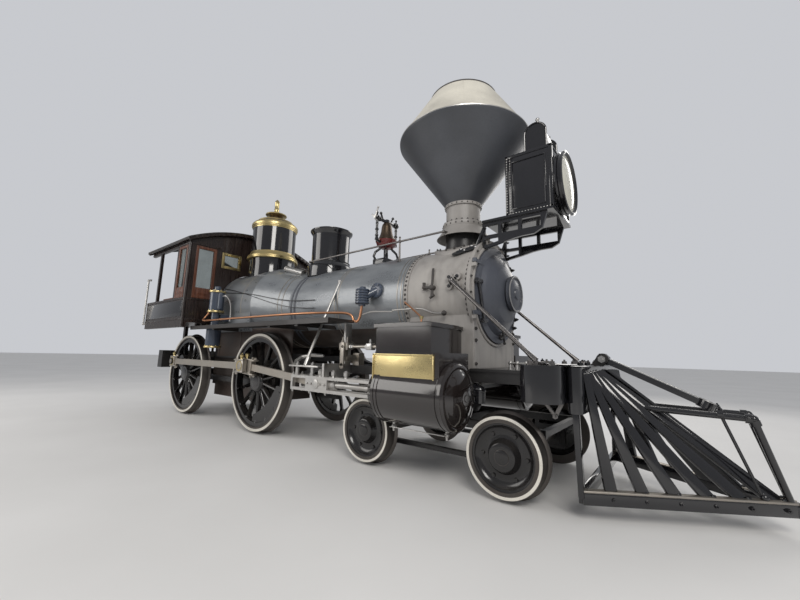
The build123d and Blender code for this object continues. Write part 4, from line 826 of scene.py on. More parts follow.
class LOCO_OT_sand_dome(bpy.types.Operator):
    """Sand dome with its flared foot and lid, its knobs, and the two valve tubes behind it"""
    bl_idname = "loco.sand_dome"
    bl_label = "Sand dome"
    profile = [(0, 2260), (350, 2260), (354, 2415), (342, 2440), (322, 2462), (304, 2490), (310, 2500),
               (310, 2512), (292, 2520), (292, 2930), (302, 2962), (326, 2990), (332, 3006), (332, 3020),
               (312, 3028), (80, 3046), (60, 3060), (0, 3060)]

    def execute(self, context):
        dome = Piece().lathe(self.profile, over("sand_dome"), Z, 96)
        dome.done("sand_dome_body", replaces=["sand_dome"])
        knobs, tube = Piece(), Piece()
        for angle in around(4, 22.918, 382.918):
            knobs.ball(polar(over("sand_dome", 3.035), 0.19, angle, X, Y), 0.016, detail=10)
        knobs.done("sand_dome_knobs")
        for side in SIGNS:
            rear, front = at(-0.29, side * 0.25, 2.48), at(0.17, side * 0.25, 2.352)
            tube.rod(rear, front, 0.048, sides=32)
            tube.ring(0.046, 0.01, 0.03, rear, X - Z * 0.278, 32)
        tube.done("dome_valve_tubes", "bright_steel")
        return {"FINISHED"}


class LOCO_OT_bell(bpy.types.Operator):
    """Bell, its yoke and crank, and the cradle with its dish, legs and posts"""
    bl_idname = "loco.bell"
    bl_label = "Bell and cradle"
    mouth, dish = RAIL_TOP + 2.69, RAIL_TOP + 2.68
    skin = [(125, 0), (121, 12), (104, 40), (89, 80), (77, 130), (71, 190), (62, 226), (42, 256), (15, 268),
            (0, 268), (0, 256), (36, 244), (56, 214), (64, 180), (70, 125), (82, 75), (114, 6)]
    bowl = [(0, -110), (70, -110), (100, -96), (128, -70), (144, -24), (150, -14), (150, 0), (138, 0),
            (124, -40), (90, -62), (0, -68)]
    leg = ((0.084, 0.12, 2.395), (0.1, 0.14, 2.45), (0.086, 0.124, 2.51), (0.052, 0.076, 2.56),
           (0.036, 0.056, 2.59))

    def execute(self, context):
        mouth = Vector((BELL.x, 0, self.mouth))
        bell = Piece().lathe(self.skin, mouth, Z, closed=False)
        bell.rod(mouth + Z * 0.02, mouth + Z * 0.25, 0.009).ball(mouth + Z * 0.02, 0.024)
        bell.done("bell_casting", "bronze", "bell", replaces=["bell"])
        half = Vector((0.02, 0.15, 0.018))
        yoke = Piece().block(BELL - half, BELL + half, 0.01)
        yoke.lathe([(0, -45), (24, -45), (28, -20), (40, 20), (28, 32), (0, 46)], BELL, Z, 32)
        for side in SIGNS:
            out = Y * side
            yoke.lathe([(18.5, 146), (32, 146), (36, 160), (32, 175), (18.5, 175)], BELL, out, 32)
            yoke.bar(BELL + out * 0.08, BELL + out * 0.128 + Z * 0.085, 0.026, 0.02, X, 0.007)
            yoke.ball(BELL + out * 0.13 + Z * 0.092, 0.021)
        yoke.done("bell_yoke", "gloss_black", "bell")
        cradle = Piece().lathe(self.bowl, (BELL.x, 0, self.dish), Z)
        cradle.done("bell_cradle_dish", "dark_red", replaces=["bell_stand"])
        self.stand()
        knuckle = BELL - Y * 0.252
        crank = Piece().bar(knuckle, knuckle + X * 0.05 + Z * 0.12, 0.024, 0.01, X)
        crank.rod(knuckle + Y * 0.012, knuckle - Y * 0.01, 0.017)
        crank.ball(knuckle + X * 0.052 + Z * 0.125, 0.015)
        crank.bar(knuckle, knuckle - X * 0.06 + Z * 0.05, 0.02, 0.01, X)
        crank.done("bell_arm", "bright_steel", "bell")
        return {"FINISHED"}

    def stand(self):
        """Foot, four bent legs and the two posts with their collars and bearings."""
        low, high = RAIL_TOP + 2.315, RAIL_TOP + 2.404
        stand = Piece().block((BELL.x - 0.11, -0.15, low), (BELL.x + 0.11, 0.15, high), 0.01)
        for side in SIGNS:
            for end in (-1, 1):
                path = [Vector((BELL.x + end * x, side * y, RAIL_TOP + z)) for x, y, z in self.leg]
                for start, stop in zip(path, path[1:]):
                    stand.rod(start, stop, 0.017, 0.016, 12).ball(start, 0.0175, detail=10)
            out = Y * side
            foot = Vector((BELL.x, side * 0.205, self.dish - 0.03))
            head = Vector((BELL.x, side * 0.205, BELL.z))
            stand.bar((BELL.x, side * 0.118, self.dish - 0.045), foot, 0.044, 0.022, X, 0.006)
            stand.rod(foot, foot + Z * 0.06, 0.028, 0.016).rod(foot + Z * 0.06, head, 0.016, 0.019)
            for lift, size in ((0.064, 0.025), (0.15, 0.027), (0.236, 0.022)):
                stand.ball(foot + Z * lift, size, (1, 1, 0.7))
            stand.lathe([(0, -18), (38, -18), (42, 0), (38, 18), (0, 18)], head, Y, 32)
            stand.rod(head + Z * 0.036, head + Z * 0.066, 0.014, 0.008).ball(head + Z * 0.078, 0.016)
            stand.rod(head - out * 0.052, head + out * 0.03, 0.0175, 0.0165)
        stand.done("bell_cradle_posts")


class LOCO_OT_headlamp(bpy.types.Operator):
    """Box headlamp with beaded panels, lens ring, lens and arched ventilator"""
    bl_idname = "loco.headlamp"
    bl_label = "Headlamp"
    half = 0.3
    ring = [(296, -30), (300, 10), (318, 18), (318, 34), (302, 42), (302, 60), (324, 68), (326, 82),
            (308, 88), (296, 70), (280, 60), (280, -30)]
    lens = [(0, 86), (100, 84), (200, 76), (290, 64), (290, 50), (0, 50)]

    def execute(self, context):
        half = self.half
        low = Vector((BOX["headlamp"][0].x, 0, BOX["headlamp"][0].z))
        high = at(3.982, 0, 3.187)
        centre = at(3.982, 0, 2.858)
        inset = half - 0.008
        case = Piece().block(low + Vector((0.008, -inset, 0)), high + Vector((-0.006, inset, -0.01)), 0.006)
        case.done("headlamp_case", replaces=["headlamp"])
        self.beading(low, high)
        Piece().lathe(self.ring, centre, X, 96).done("headlamp_ring")
        Piece().lathe(self.lens, centre, X, 96).done("headlamp_lens", "lens_glass")
        self.ventilator(low.x + 0.285, high.z)
        self.bracket_feet(context.scene.loco_sizes.smokebox_radius)
        return {"FINISHED"}

    def beading(self, low, high):
        """Raised edges, panel mouldings and rows of beads on the case."""
        half = self.half
        trim, beads = Piece(), Piece()
        for z in (low.z + 0.002, high.z - 0.034):
            trim.block((low.x, -half, z), (high.x, half, z + 0.032), 0.008)
        for x in (low.x, high.x - 0.036):
            for side in SIGNS:
                trim.block((x, side * half, low.z), (x + 0.036, side * (half - 0.036), high.z), 0.008)
        x0, x1, z0, z1 = low.x + 0.07, high.x - 0.07, low.z + 0.065, high.z - 0.085
        for side in SIGNS:
            y = side * (half - 0.004)
            for z in (z0, z1):
                trim.bar((x0, y, z), (x1, y, z), 0.014, 0.012, Z)
            for x in (x0, x1):
                trim.bar((x, y, z0), (x, y, z1), 0.014, 0.012, X)
            for x in (0.018, 0.052):
                for step in range(21):
                    beads.rivet(low + Vector((x, side * half, 0.04 + step * 0.029)), Y * side, 0.007)
            for step in range(14):
                beads.rivet(low + Vector((0.05 + step * 0.03, side * half, 0.018)), Y * side, 0.007)
        trim.done("headlamp_beading")
        beads.done("headlamp_beads", "bright_steel")

    def ventilator(self, arch_x, roof):
        """Arched box on the roof, with beaded ends and two knobs."""
        arch_z, arch_r, inner_r = roof + 0.225, 0.105, 0.085
        vent, hoop, knob = Piece(), Piece(), Piece()
        for y, radius, depth in ((-0.19, arch_r, 0.02), (0.17, arch_r, 0.02), (-0.18, inner_r, 0.36)):
            arch = [polar((arch_x, y, arch_z), radius, angle, X, Z) for angle in around(16, 180, -11.25)]
            foot = Vector((arch_x, y, roof - 0.01))
            vent.plate([foot - X * radius, *arch, foot + X * radius], Y * depth)
        vent.done("headlamp_ventilator")
        for y in (-0.192, 0.192):
            centre = Vector((arch_x, y, arch_z))
            points = [polar(centre, arch_r + 0.004, angle, X, Z) for angle in around(18, 0, 190)]
            for start, end in zip(points, points[1:]):
                hoop.rod(start, end, 0.009, sides=8)
            for reach in (-arch_r - 0.004, arch_r + 0.004):
                hoop.rod((arch_x + reach, y, roof), centre + X * reach, 0.009, sides=8)
            spot = centre + X * 0.03 + Z * arch_r
            knob.rod(spot, spot + Z * 0.03, 0.01, sides=10).ball(spot + Z * 0.03, 0.021, detail=12)
        hoop.done("headlamp_ventilator_beading")
        knob.done("headlamp_knobs", "bright_steel")

    def bracket_feet(self, radius):
        """Bolted pads on top of the smokebox, with straps up to the lamp's shelf."""
        feet, nuts = Piece(), Piece()
        for side in SIGNS:
            spots = [Vector((MAIN.x + x, side * y, round_top(radius, y) + 0.012))
                     for x, y in ((2.99, 0.385), (3.085, 0.35), (3.2, 0.308))]
            for start, end in zip(spots, spots[1:]):
                feet.bar(start, end, 0.098, 0.04, Y * side, 0.01)
                feet.bolt((start + end) / 2 + Z * 0.016, Z, 0.024, 0.026)
            feet.ball(spots[0], 0.04, (1.3, 1.2, 0.6))
            shelf = Vector((SHELF_LOW.x + 0.02, side * 0.291, SHELF_HIGH.z - 0.06))
            feet.bar(spots[-1] - X * 0.01, shelf, 0.05, 0.028, Y * side, 0.006)
            for x in (0.06, 0.22, 0.4, 0.58):
                nuts.bolt((SHELF_LOW.x + x, side * 0.291, SHELF_HIGH.z - 0.024), -Z, 0.014, 0.014)
            for z in (2.3, 2.38, 2.46):
                nuts.bolt((SMOKE_HIGH.x - 0.03, side * 0.33, RAIL_TOP + z), X, 0.014, 0.016)
        feet.done("lamp_bracket_feet")
        nuts.done("lamp_shelf_nuts")


class LOCO_OT_cylinders(bpy.types.Operator):
    """Cylinder heads, bands, chest lids, blank brass plates, oil pipes and drain cocks"""
    bl_idname = "loco.cylinders"
    bl_label = "Cylinders"
    radius, middle_y = 0.284, 0.8845
    front, rear = 3.25, 2.52
    head = [(274, 4), (296.5, 4), (297.5, 30), (286, 42), (278, 50), (260, 53), (250, 47), (232, 49),
            (200, 76), (150, 96), (98, 110), (50, 115.5), (0, 115.5), (0, 4)]
    elbow = [(30, 0), (70, 0), (70, 20), (52, 26), (52, 50), (30, 50)]
    oil_line = ((2.44, 0.56, 1.69), (2.6, 0.645, 1.602), (2.74, 0.725, 1.525), (2.8, 0.755, 1.49),
                (2.806, 0.76, 1.45))

    def execute(self, context):
        for side, sign in SIDES.items():
            lid = BOX[f"cylinder_{side}"][1].z
            self.barrel(side, sign)
            self.chest(side, sign, lid)
            self.plate(side, sign)
            self.oil_pipe(side, sign, lid)
            self.drains(side, sign)
        return {"FINISHED"}

    def middle(self, x, sign):
        """Place on the cylinder's middle line."""
        return at(x, sign * self.middle_y, CYLINDER_HEIGHT)

    def barrel(self, side, sign):
        """Domed front head with its nut, and the bands."""
        centre = self.middle(self.front, sign)
        head = Piece().lathe(self.head, centre, X, 96, closed=False)
        head.rod(centre + X * 0.112, centre + X * 0.122, 0.034, 0.03, 6)
        head.done(f"cylinder_head_{side}", "cylinder_black")
        bands = Piece()
        for x in (self.rear + 0.006, self.rear + 0.045, self.front - 0.052):
            bands.ring(self.radius - 0.002, 0.008, 0.03, self.middle(x, sign), X, 96)
        bands.ring(self.radius - 0.004, 0.01, 0.012, self.middle(self.front - 0.012, sign), X, 96)
        bands.done(f"cylinder_bands_{side}", "cylinder_black")

    def chest(self, side, sign, lid):
        """Nuts of the rear head and the lid, the chest's inner end, and its cover."""
        y_in, y_out, low, high = 0.64, 1.062, 2.48, 3.12
        bolts = Piece()
        centre = self.middle(0, sign)
        centre.x = BOX[f"cylinder_{side}"][0].x + 0.17
        for angle in around(10):
            bolts.bolt(polar(centre, 0.186, angle, Y, Z), -X, 0.013, 0.016)
        pitch = (high - low - 0.04) / 3
        spots = [(low + 0.02 + step * pitch, y) for step in range(4) for y in (y_in, y_out - 0.01)]
        spots += [(x, y) for y in (y_in + 0.14, y_in + 0.28) for x in (low + 0.01, high - 0.01)]
        for x, y in spots:
            bolts.rivet((MAIN.x + x, sign * y, lid), Z, 0.014)
        bolts.done(f"chest_nuts_{side}")

        def slab(piece, x, y, z, edge):
            piece.block((MAIN.x + x[0], sign * y[0], z[0]), (MAIN.x + x[1], sign * y[1], z[1]), edge)

        inner, cover = Piece(), Piece()
        slab(inner, (low + 0.02, high - 0.006), (0.5, 0.612), (RAIL_TOP + 1.04, lid - 0.036), 0.004)
        slab(inner, (low + 0.002, high + 0.014), (0.5, 0.612), (lid - 0.036, lid - 0.002), 0.004)
        inner.done(f"chest_inner_end_{side}", "cylinder_black")
        slab(cover, (low + 0.035, high - 0.035), (y_in + 0.03, y_out - 0.03), (lid, lid + 0.012), 0.006)
        for x in (low - 0.016, high - 0.002):
            slab(cover, (x, x + 0.018), (0.606, 1.084), (lid - 0.04, lid - 0.03), 0.003)
        cover.done(f"chest_cover_{side}", "cylinder_black")

    def plate(self, side, sign):
        """Blank brass plate with a raised rim and four screws."""
        x0, x1, z0, z1, rim = 2.5, 3.193, 0.856, 1.118, 0.016
        plate = Piece().block(at(x0, sign * 1.117, z0), at(x1, sign * 1.122, z1), 0.002)
        for xa, za, xb, zb in ((x0, z0, x1, z0 + rim), (x0, z1 - rim, x1, z1), (x0, z0, x0 + rim, z1),
                               (x1 - rim, z0, x1, z1)):
            plate.block(at(xa, sign * 1.121, za), at(xb, sign * 1.128, zb), 0.003)
        for x in (x0 + 0.034, x1 - 0.034):
            for z in (z0 + 0.034, z1 - 0.034):
                plate.rivet(at(x, sign * 1.122, z), Y * sign, 0.008)
        plate.done(f"brass_plate_{side}", "brass")

    def oil_pipe(self, side, sign, lid):
        """Copper pipe from the smokebox's side to the chest, its unions, and the elbow under the head."""
        line = [at(x, sign * y, z) for x, y, z in self.oil_line]
        line.append(Vector((line[-1].x, line[-1].y, lid)))
        pipe(f"chest_oil_pipe_{side}", line, 0.01, "copper")
        union = Piece()
        for z, size in ((lid + 0.01, 0.024), (RAIL_TOP + 1.468, 0.02)):
            spot = Vector((MAIN.x + 2.805, sign * 0.76, z))
            union.rod(spot, spot + Z * 0.03, size, sides=6)
        union.done(f"chest_oil_unions_{side}", "brass")
        spot = at(3.29, sign * 0.56, 0.8)
        bend = spot + X * 0.046
        elbow = Piece().lathe(self.elbow, spot, X, 40).ball(bend, 0.052, detail=24)
        elbow.rod(bend, bend - Z * 0.11, 0.05, 0.05, 32).done(f"cylinder_elbow_{side}")

    def drains(self, side, sign):
        """Two drain cocks under the cylinder, on one rod."""
        cocks = Piece()
        places = (self.rear + 0.07, self.front - 0.07)
        for x in places:
            spot = self.middle(x, sign) - Z * self.radius
            valve = spot - Z * 0.04
            cocks.rod(spot + Z * 0.01, spot - Z * 0.085, 0.014, 0.01, 12).ball(valve, 0.022, detail=12)
            cocks.bar(valve, valve + Y * sign * 0.06, 0.014, 0.008, X)
        rear, front = (self.middle(x, sign) + Y * sign * 0.05 - Z * (self.radius + 0.04) for x in places)
        cocks.bar(rear, front, 0.014, 0.008, Y).done(f"cylinder_drain_cocks_{side}", "bright_steel")


class LOCO_OT_rods(bpy.types.Operator):
    """Straps, keys, bolts and oil cups on the rods and crossheads"""
    bl_idname = "loco.rods"
    bl_label = "Rods"
    bush = [(56, -1), (74, -1), (74, 6.5), (56, 6.5)]
    side_cup = [(0, 0), (18, 0), (14, 14), (26, 24), (28, 58), (18, 70), (6, 74), (6, 88), (0, 90)]
    main_cup = [(0, 0), (20, 0), (16, 14), (30, 26), (32, 66), (20, 78), (0, 82)]
    pin_cap = [(0, 0), (52, 0), (54, 6), (50, 14), (36, 17), (34, 20), (0, 20)]
    wrist_cap = [(0, 0), (52, 0), (52, 8), (40, 12), (0, 12)]
    gland = [(33, 188), (56, 188), (52, 245), (40, 262), (33, 262)]

    def execute(self, context):
        for side, sign in SIDES.items():
            self.side_rod(side, sign)
            self.main_rod(side)
            self.crosshead(side, sign)
        return {"FINISHED"}

    def side_rod(self, side, sign):
        """Straps, key, bolts, bush and oil cup at both ends, and the cap on the rear pin."""
        inner, outer = sorted(abs(corner.y) for corner in BOX[f"side_rod_{side}"])
        out = Y * sign
        trim, brasses = Piece(), Piece()
        for axle, inward in ((MAIN, -X), (REAR, X)):
            face = crank(axle, side, sign * outer)
            seat = face - out * 0.0245
            for z in (-0.083, 0.083):
                strap = seat + Z * z
                trim.bar(strap - inward * 0.092, strap + inward * 0.165, 0.055, 0.02, Y, 0.004)
            corner = Vector((0.088, 0, 0.07))
            trim.block(face - out * (outer - inner - 0.002) - corner, face + out * 0.004 + corner, 0.01)
            key = face + inward * 0.11 - out * 0.026
            trim.bar(key + Z * 0.115, key - Z * 0.125, 0.04, 0.016, X, 0.004)
            for step in (0.132, 0.152):
                for up in (Z, -Z):
                    trim.bolt(face + inward * step + up * 0.088 - out * 0.03, up, 0.013, 0.018)
            brasses.lathe(self.bush, face, out, 48)
            brasses.lathe(self.side_cup, face + Z * 0.093 - out * 0.03, Z, 24)
        trim.done(f"side_rod_straps_{side}", "rod_steel", f"side_rod_{side}")
        brasses.done(f"side_rod_brasses_{side}", "brass", f"side_rod_{side}")
        face = crank(REAR, side, sign * (outer + 0.008))
        caps = Piece().lathe(self.pin_cap, face, out, 48).bolt(face + out * 0.01, out, 0.02, 0.012)
        caps.done(f"crank_pin_cap_{side}", "rod_steel", "rear_drivers")

    def main_rod(self, side):
        """Straps at both ends, key, bolts and oil cup."""
        wrist = PIVOT[f"main_rod_{side}_pin"]
        big = crank(MAIN, side, wrist.y)
        run = (wrist - big).normalized()
        up = run.cross(-Y).normalized()
        up *= math.copysign(1, up.z)
        strap = Piece()
        for lift in (-up, up):
            spot = big + lift * 0.098
            strap.bar(spot - run * 0.108, spot + run * 0.25, 0.08, 0.024, Y, 0.005)
            spot = wrist + lift * 0.058
            strap.bar(spot - run * 0.175, spot + run * 0.06, 0.08, 0.016, Y, 0.004)
            for step in (0.205, 0.232):
                strap.bolt(big + run * step + lift * 0.108, lift, 0.014, 0.018)
        strap.bar(big + run * 0.155 - up * 0.15, big + run * 0.155 + up * 0.14, 0.03, 0.018, Y, 0.004)
        strap.done(f"main_rod_straps_{side}", "rod_steel", f"main_rod_{side}")
        cup = Piece().lathe(self.main_cup, big + up * 0.104, up, 24)
        cup.done(f"main_rod_oil_cup_{side}", "brass", f"main_rod_{side}")

    def crosshead(self, side, sign):
        """Blocks behind the wrist pin, the face's nuts, the pin's cap and the piston rod's gland."""
        wrist = PIVOT[f"main_rod_{side}_pin"]
        face = wrist + Y * sign * 0.086
        head = Piece()
        for level in (-0.0297, 0.0297):
            for low, high in ((-0.084, -0.052), (0.052, 0.084)):
                head.block(wrist + Vector((-0.188, low, level - 0.016)),
                           wrist + Vector((-0.12, high, level + 0.016)))
        for end in (-0.15, -0.075, 0.075, 0.15):
            head.bolt(face + X * end, Y * sign, 0.014, 0.012)
        head.lathe(self.wrist_cap, face, Y * sign, 40).lathe(self.gland, wrist, X, 40)
        head.done(f"crosshead_bolts_{side}", "bright_steel", f"crosshead_{side}")


class LOCO_OT_guides(bpy.types.Operator):
    """Bolts and oil cups on the guide bars, the stay up to the boiler, and the rocker's head and link"""
    bl_idname = "loco.guides"
    bl_label = "Guides"
    bar_y = 0.9495
    reach = 0.088
    cup = [(0, 0), (18, 0), (14, 14), (26, 22), (28, 62), (20, 68), (16, 76), (0, 80)]
    foot_path = ((1.03, 0.93, 0.958), (0.985, 0.88, 1.000), (0.99, 0.8, 1.055), (1.06, 0.72, 1.08),
                 (1.15, 0.6, 1.075))

    def execute(self, context):
        low, high = BOX["guides"]
        top, under = RAIL_TOP + CYLINDER_HEIGHT + self.reach, RAIL_TOP + CYLINDER_HEIGHT - self.reach
        for side, sign in SIDES.items():
            trim, cups = Piece(), Piece()
            for y in (0.8195, self.bar_y):
                for x in (low.x + 0.018, high.x - 0.018, low.x + 0.34, low.x + 0.62):
                    trim.bolt((x, sign * y, top), Z, 0.015, 0.022)
                    trim.bolt((x, sign * y, under), -Z, 0.015, 0.018)
            trim.done(f"guide_bolts_{side}", "bright_steel")
            for x in (low.x + 0.52, low.x + 0.74, low.x + 0.94):
                cups.lathe(self.cup, (x, sign * self.bar_y, top), Z, 20)
            cups.done(f"guide_oil_cups_{side}", "bright_steel")
            self.stay(side, sign)
            self.rocker(side, sign)
        return {"FINISHED"}

    def stay(self, side, sign):
        """Plate on two posts over the guides, with the long round stay to the jacket."""
        plate_z, top = 0.94, CYLINDER_HEIGHT + self.reach
        stay = Piece().block(at(0.991, sign * 0.905, plate_z), at(1.535, sign * 0.99, plate_z + 0.02))
        for x in (1.115, 1.4):
            post = at(x, sign * self.bar_y, top)
            head = at(x, sign * self.bar_y, plate_z)
            stay.rod(post - Z * 0.004, head, 0.021).bolt(head + Z * 0.02, Z, 0.024, 0.026)
            stay.rod(post, post + Z * 0.022, 0.032, sides=6)
        foot = at(1.265, sign * 0.95, plate_z + 0.018)
        head = skin(1.305, 90 - sign * 60)
        way = (head - foot).normalized()
        stay.rod(foot + Z * 0.03, head - way * 0.01, 0.017).rod(foot, foot + way * 0.105, 0.027, 0.024, 16)
        stay.rod(foot + way * 0.105, foot + way * 0.13, 0.024, 0.014, 16)
        stay.rod(head - way * 0.05, head, 0.014, 0.026, 16)
        path = [at(x, sign * y, z) for x, y, z in self.foot_path]
        for start, end in zip(path, path[1:]):
            stay.rod(start, end, 0.024, 0.022, 16).ball(end, 0.0225, detail=12)
        stay.done(f"guide_stay_{side}", "bright_steel")

    def rocker(self, side, sign):
        """Head block with its bolts, the hanging link, and the valve rod's clevis and nuts."""
        spot = at(1.76, sign * 0.78, 1.19)
        link = spot + Y * sign * 0.046
        eye = link - Z * 0.222
        low, high = spot - Vector((0.078, 0.034, 0.042)), spot + Vector((0.066, 0.034, 0.042))
        rocker = Piece().block(low, high, 0.01)
        for x in (-0.05, 0.026):
            stud = spot + Vector((x, 0, 0.042))
            rocker.bolt(stud, Z, 0.022, 0.03).rod(stud, stud + Z * 0.068, 0.011, 0.008, 10)
        rocker.bar(link + Z * 0.05, link - Z * 0.225, 0.062, 0.022, X, 0.006)
        rocker.rod(eye - Y * 0.011, eye + Y * 0.011, 0.031, sides=32)
        rocker.bolt(link + Y * sign * 0.011, Y * sign, 0.018, 0.014).done(f"rocker_link_{side}", "rod_steel")
        rod = Piece()
        for x, size in ((0.09, 0.034), (0.112, 0.028), (0.325, 0.028)):
            rod.rod(spot + X * x, spot + X * (x + 0.02), size, sides=6)
        clevis, half = spot + X * 0.39, Vector((0.046, 0.036, 0.036))
        rod.block(clevis - half, clevis + half, 0.01)
        rod.rod(clevis - Z * 0.03, clevis + Z * 0.08, 0.014, 0.012, 12)
        rod.rod(clevis + Z * 0.046, clevis + Z * 0.064, 0.022, sides=6)
        rod.done(f"valve_rod_joint_{side}", "bright_steel")


class LOCO_OT_wheels(bpy.types.Operator):
    """Cast centres with their spokes, tyres and white rims for every wheel"""
    bl_idname = "loco.wheels"
    bl_label = "Wheels"
    rim_inner, tyre_inner = 0.558, 0.62
    middle_y = 0.7495
    rim = [(562, -50), (620, -54), (620, 54), (562, 50), (558, 36), (558, -36)]
    hub = [(88, -68), (140, -66), (150, -50), (152, 48), (142, 66), (122, 85.5), (88, 85.5)]
    boss = [(0, -50), (108, -50), (120, -36), (120, 70), (110, 85.5), (0, 85.5)]
    axle_end = [(0, 78), (86, 78), (84, 87), (70, 89), (0, 89)]
    bogie_tread, bogie_inner = 0.322, 0.264
    disc = [(62, 681), (100, 682), (112, 700), (150, 722), (215, 728), (244, 700), (264, 690), (264, 810),
            (246, 806), (232, 784), (205, 770), (170, 768), (140, 774), (120, 800), (108, 826.5),
            (100, 829.5), (62, 829.5)]
    bogie_cap = [(0, 824), (60, 824), (58, 833), (40, 838), (0, 838)]

    def execute(self, context):
        spokes = context.scene.loco_sizes.spokes
        for axle, body, node in ((MAIN, "main_drivers", "main_driver_wheels"),
                                 (REAR, "rear_drivers", "rear_driver_wheels")):
            for side, sign in SIDES.items():
                self.driver(axle, body, node, spokes, side, sign)
        for name in ("front", "rear"):
            axle, body, node = middle(f"bogie_axle_{name}"), f"bogie_{name}_set", f"bogie_wheels_{name}"
            for side, sign in SIDES.items():
                self.plate_wheel(axle, body, node, side, sign)
        return {"FINISHED"}

    def tyre(self, label, body, centre, tread, inner, white, steps, sign):
        """Turned tyre with its flange inwards, and the white ring on its face."""
        back, face = 0.6795, 0.8195
        name, side = label
        tyre = Piece().turned([
            (inner, back), (tread + 0.02, back), (tread + 0.027, back + 0.006),
            (tread + 0.028, back + 0.012), (tread + 0.02, back + 0.022), (tread + 0.004, back + 0.032),
            (tread + 0.001, back + 0.044), (tread - 0.003, face - 0.006), (tread - 0.008, face),
            (inner, face)], centre, Y * sign, 120)
        tyre.done(f"{name}_tyre_{side}", "tread_steel", body)
        ring = Piece().turned([(tread - white, 0.819), (tread - 0.006, 0.819), (tread - 0.008, 0.8215),
                               (tread - white + 0.002, 0.8215)], centre, Y * sign, steps)
        ring.done(f"{name}_white_rim_{side}", "tyre_white", body)

    def driver(self, axle, body, node, spokes, side, sign):
        """Spoked centre with its hub, crank boss and balance weight, then the tyre and the axle's end."""
        out = Y * sign
        centre = Vector((axle.x, 0, axle.z))
        hub = centre + out * self.middle_y
        pin = crank(axle, side)
        boss = pin + out * self.middle_y
        direction = (pin - centre).normalized()
        wheel = Piece().lathe(self.rim, hub, out, 112).lathe(self.hub, hub, out, 64)
        wheel.lathe(self.boss, boss, out, 56)
        arm = hub + out * 0.018
        wheel.bar(arm, arm + direction * 0.279, 0.19, 0.132, direction.cross(Y), 0.012)
        first = math.degrees(math.atan2(direction.z, direction.x)) + 180 / spokes
        for angle in around(spokes, first, first + 360):
            self.spoke(wheel, hub, ray(angle, X, Z), 0.12, self.rim_inner + 0.01)
        self.weight(wheel, hub, -direction, sign)
        wheel.done(f"{node}_centre_{side}", "wheel_black", body, replaces=[node])
        self.tyre((node, side), body, centre, TREAD_RADIUS, self.tyre_inner - 0.001, 0.042, 120, sign)
        seat = Piece().lathe(self.axle_end, hub, out, 48)
        pin_reach = BOX[node][1].y
        seat.turned([(0, self.middle_y + 0.08), (0.055, self.middle_y + 0.08), (0.055, pin_reach),
                     (0, pin_reach)], pin, out, 48)
        seat.done(f"{node}_axle_end_{side}", "wheel_black", body)

    def spoke(self, wheel, hub, way, start, end):
        """Tapered spoke of oval section with a wide root."""
        turn = way.to_track_quat("Z", "Y").to_matrix().to_4x4()
        flat = turn.inverted() @ Y
        thin = (0.62, 1.0) if abs(flat.y) > abs(flat.x) else (1.0, 0.62)
        for low, high, wide_low, wide_high in ((start - 0.02, start + 0.06, 0.062, 0.044),
                                               (start + 0.06, end - 0.05, 0.044, 0.035),
                                               (end - 0.05, end + 0.004, 0.035, 0.056)):
            place = Matrix.Translation(hub + way * (low + high) / 2) @ turn @ Matrix.Diagonal((*thin, 1, 1))
            bmesh.ops.create_cone(wheel.mesh, cap_ends=True, segments=16, radius1=wide_low,
                                  radius2=wide_high, depth=high - low, matrix=place)

    def weight(self, wheel, hub, way, sign):
        """Crescent balance weight inside the rim."""
        across, rim = way.cross(Y), self.rim_inner
        corners = [polar(hub, rim, angle, way, across) for angle in around(12, -46.9825, 55.0039)]
        for number in range(12):
            turn = 0.66 - 1.46 * number / 12
            reach = 0.3 + 0.085 * math.cos(turn * 2)
            corners.append(hub + way * reach + across * rim * 0.98 * math.sin(turn))
        wheel.plate([point - Y * sign * 0.04 for point in corners], Y * sign * 0.08)

    def plate_wheel(self, axle, body, node, side, sign):
        """Dished disc wheel with six bosses, its tyre and the cap on the axle's end."""
        out = Y * sign
        centre = Vector((axle.x, 0, axle.z))
        disc = Piece().lathe(self.disc, centre, out, 96)
        for angle in around(6):
            spot = polar(centre, 0.186, angle, X, Z)
            disc.rod(spot + out * 0.764, spot + out * 0.781, 0.02, 0.014, 16)
        disc.done(f"{node}_disc_{side}", "wheel_black", body, replaces=[node])
        self.tyre((node, side), body, centre, self.bogie_tread, self.bogie_inner - 0.001, 0.03, 96, sign)
        cap = Piece().lathe(self.bogie_cap, centre, out, 40)
        cap.done(f"{node}_axle_end_{side}", "wheel_black", body)


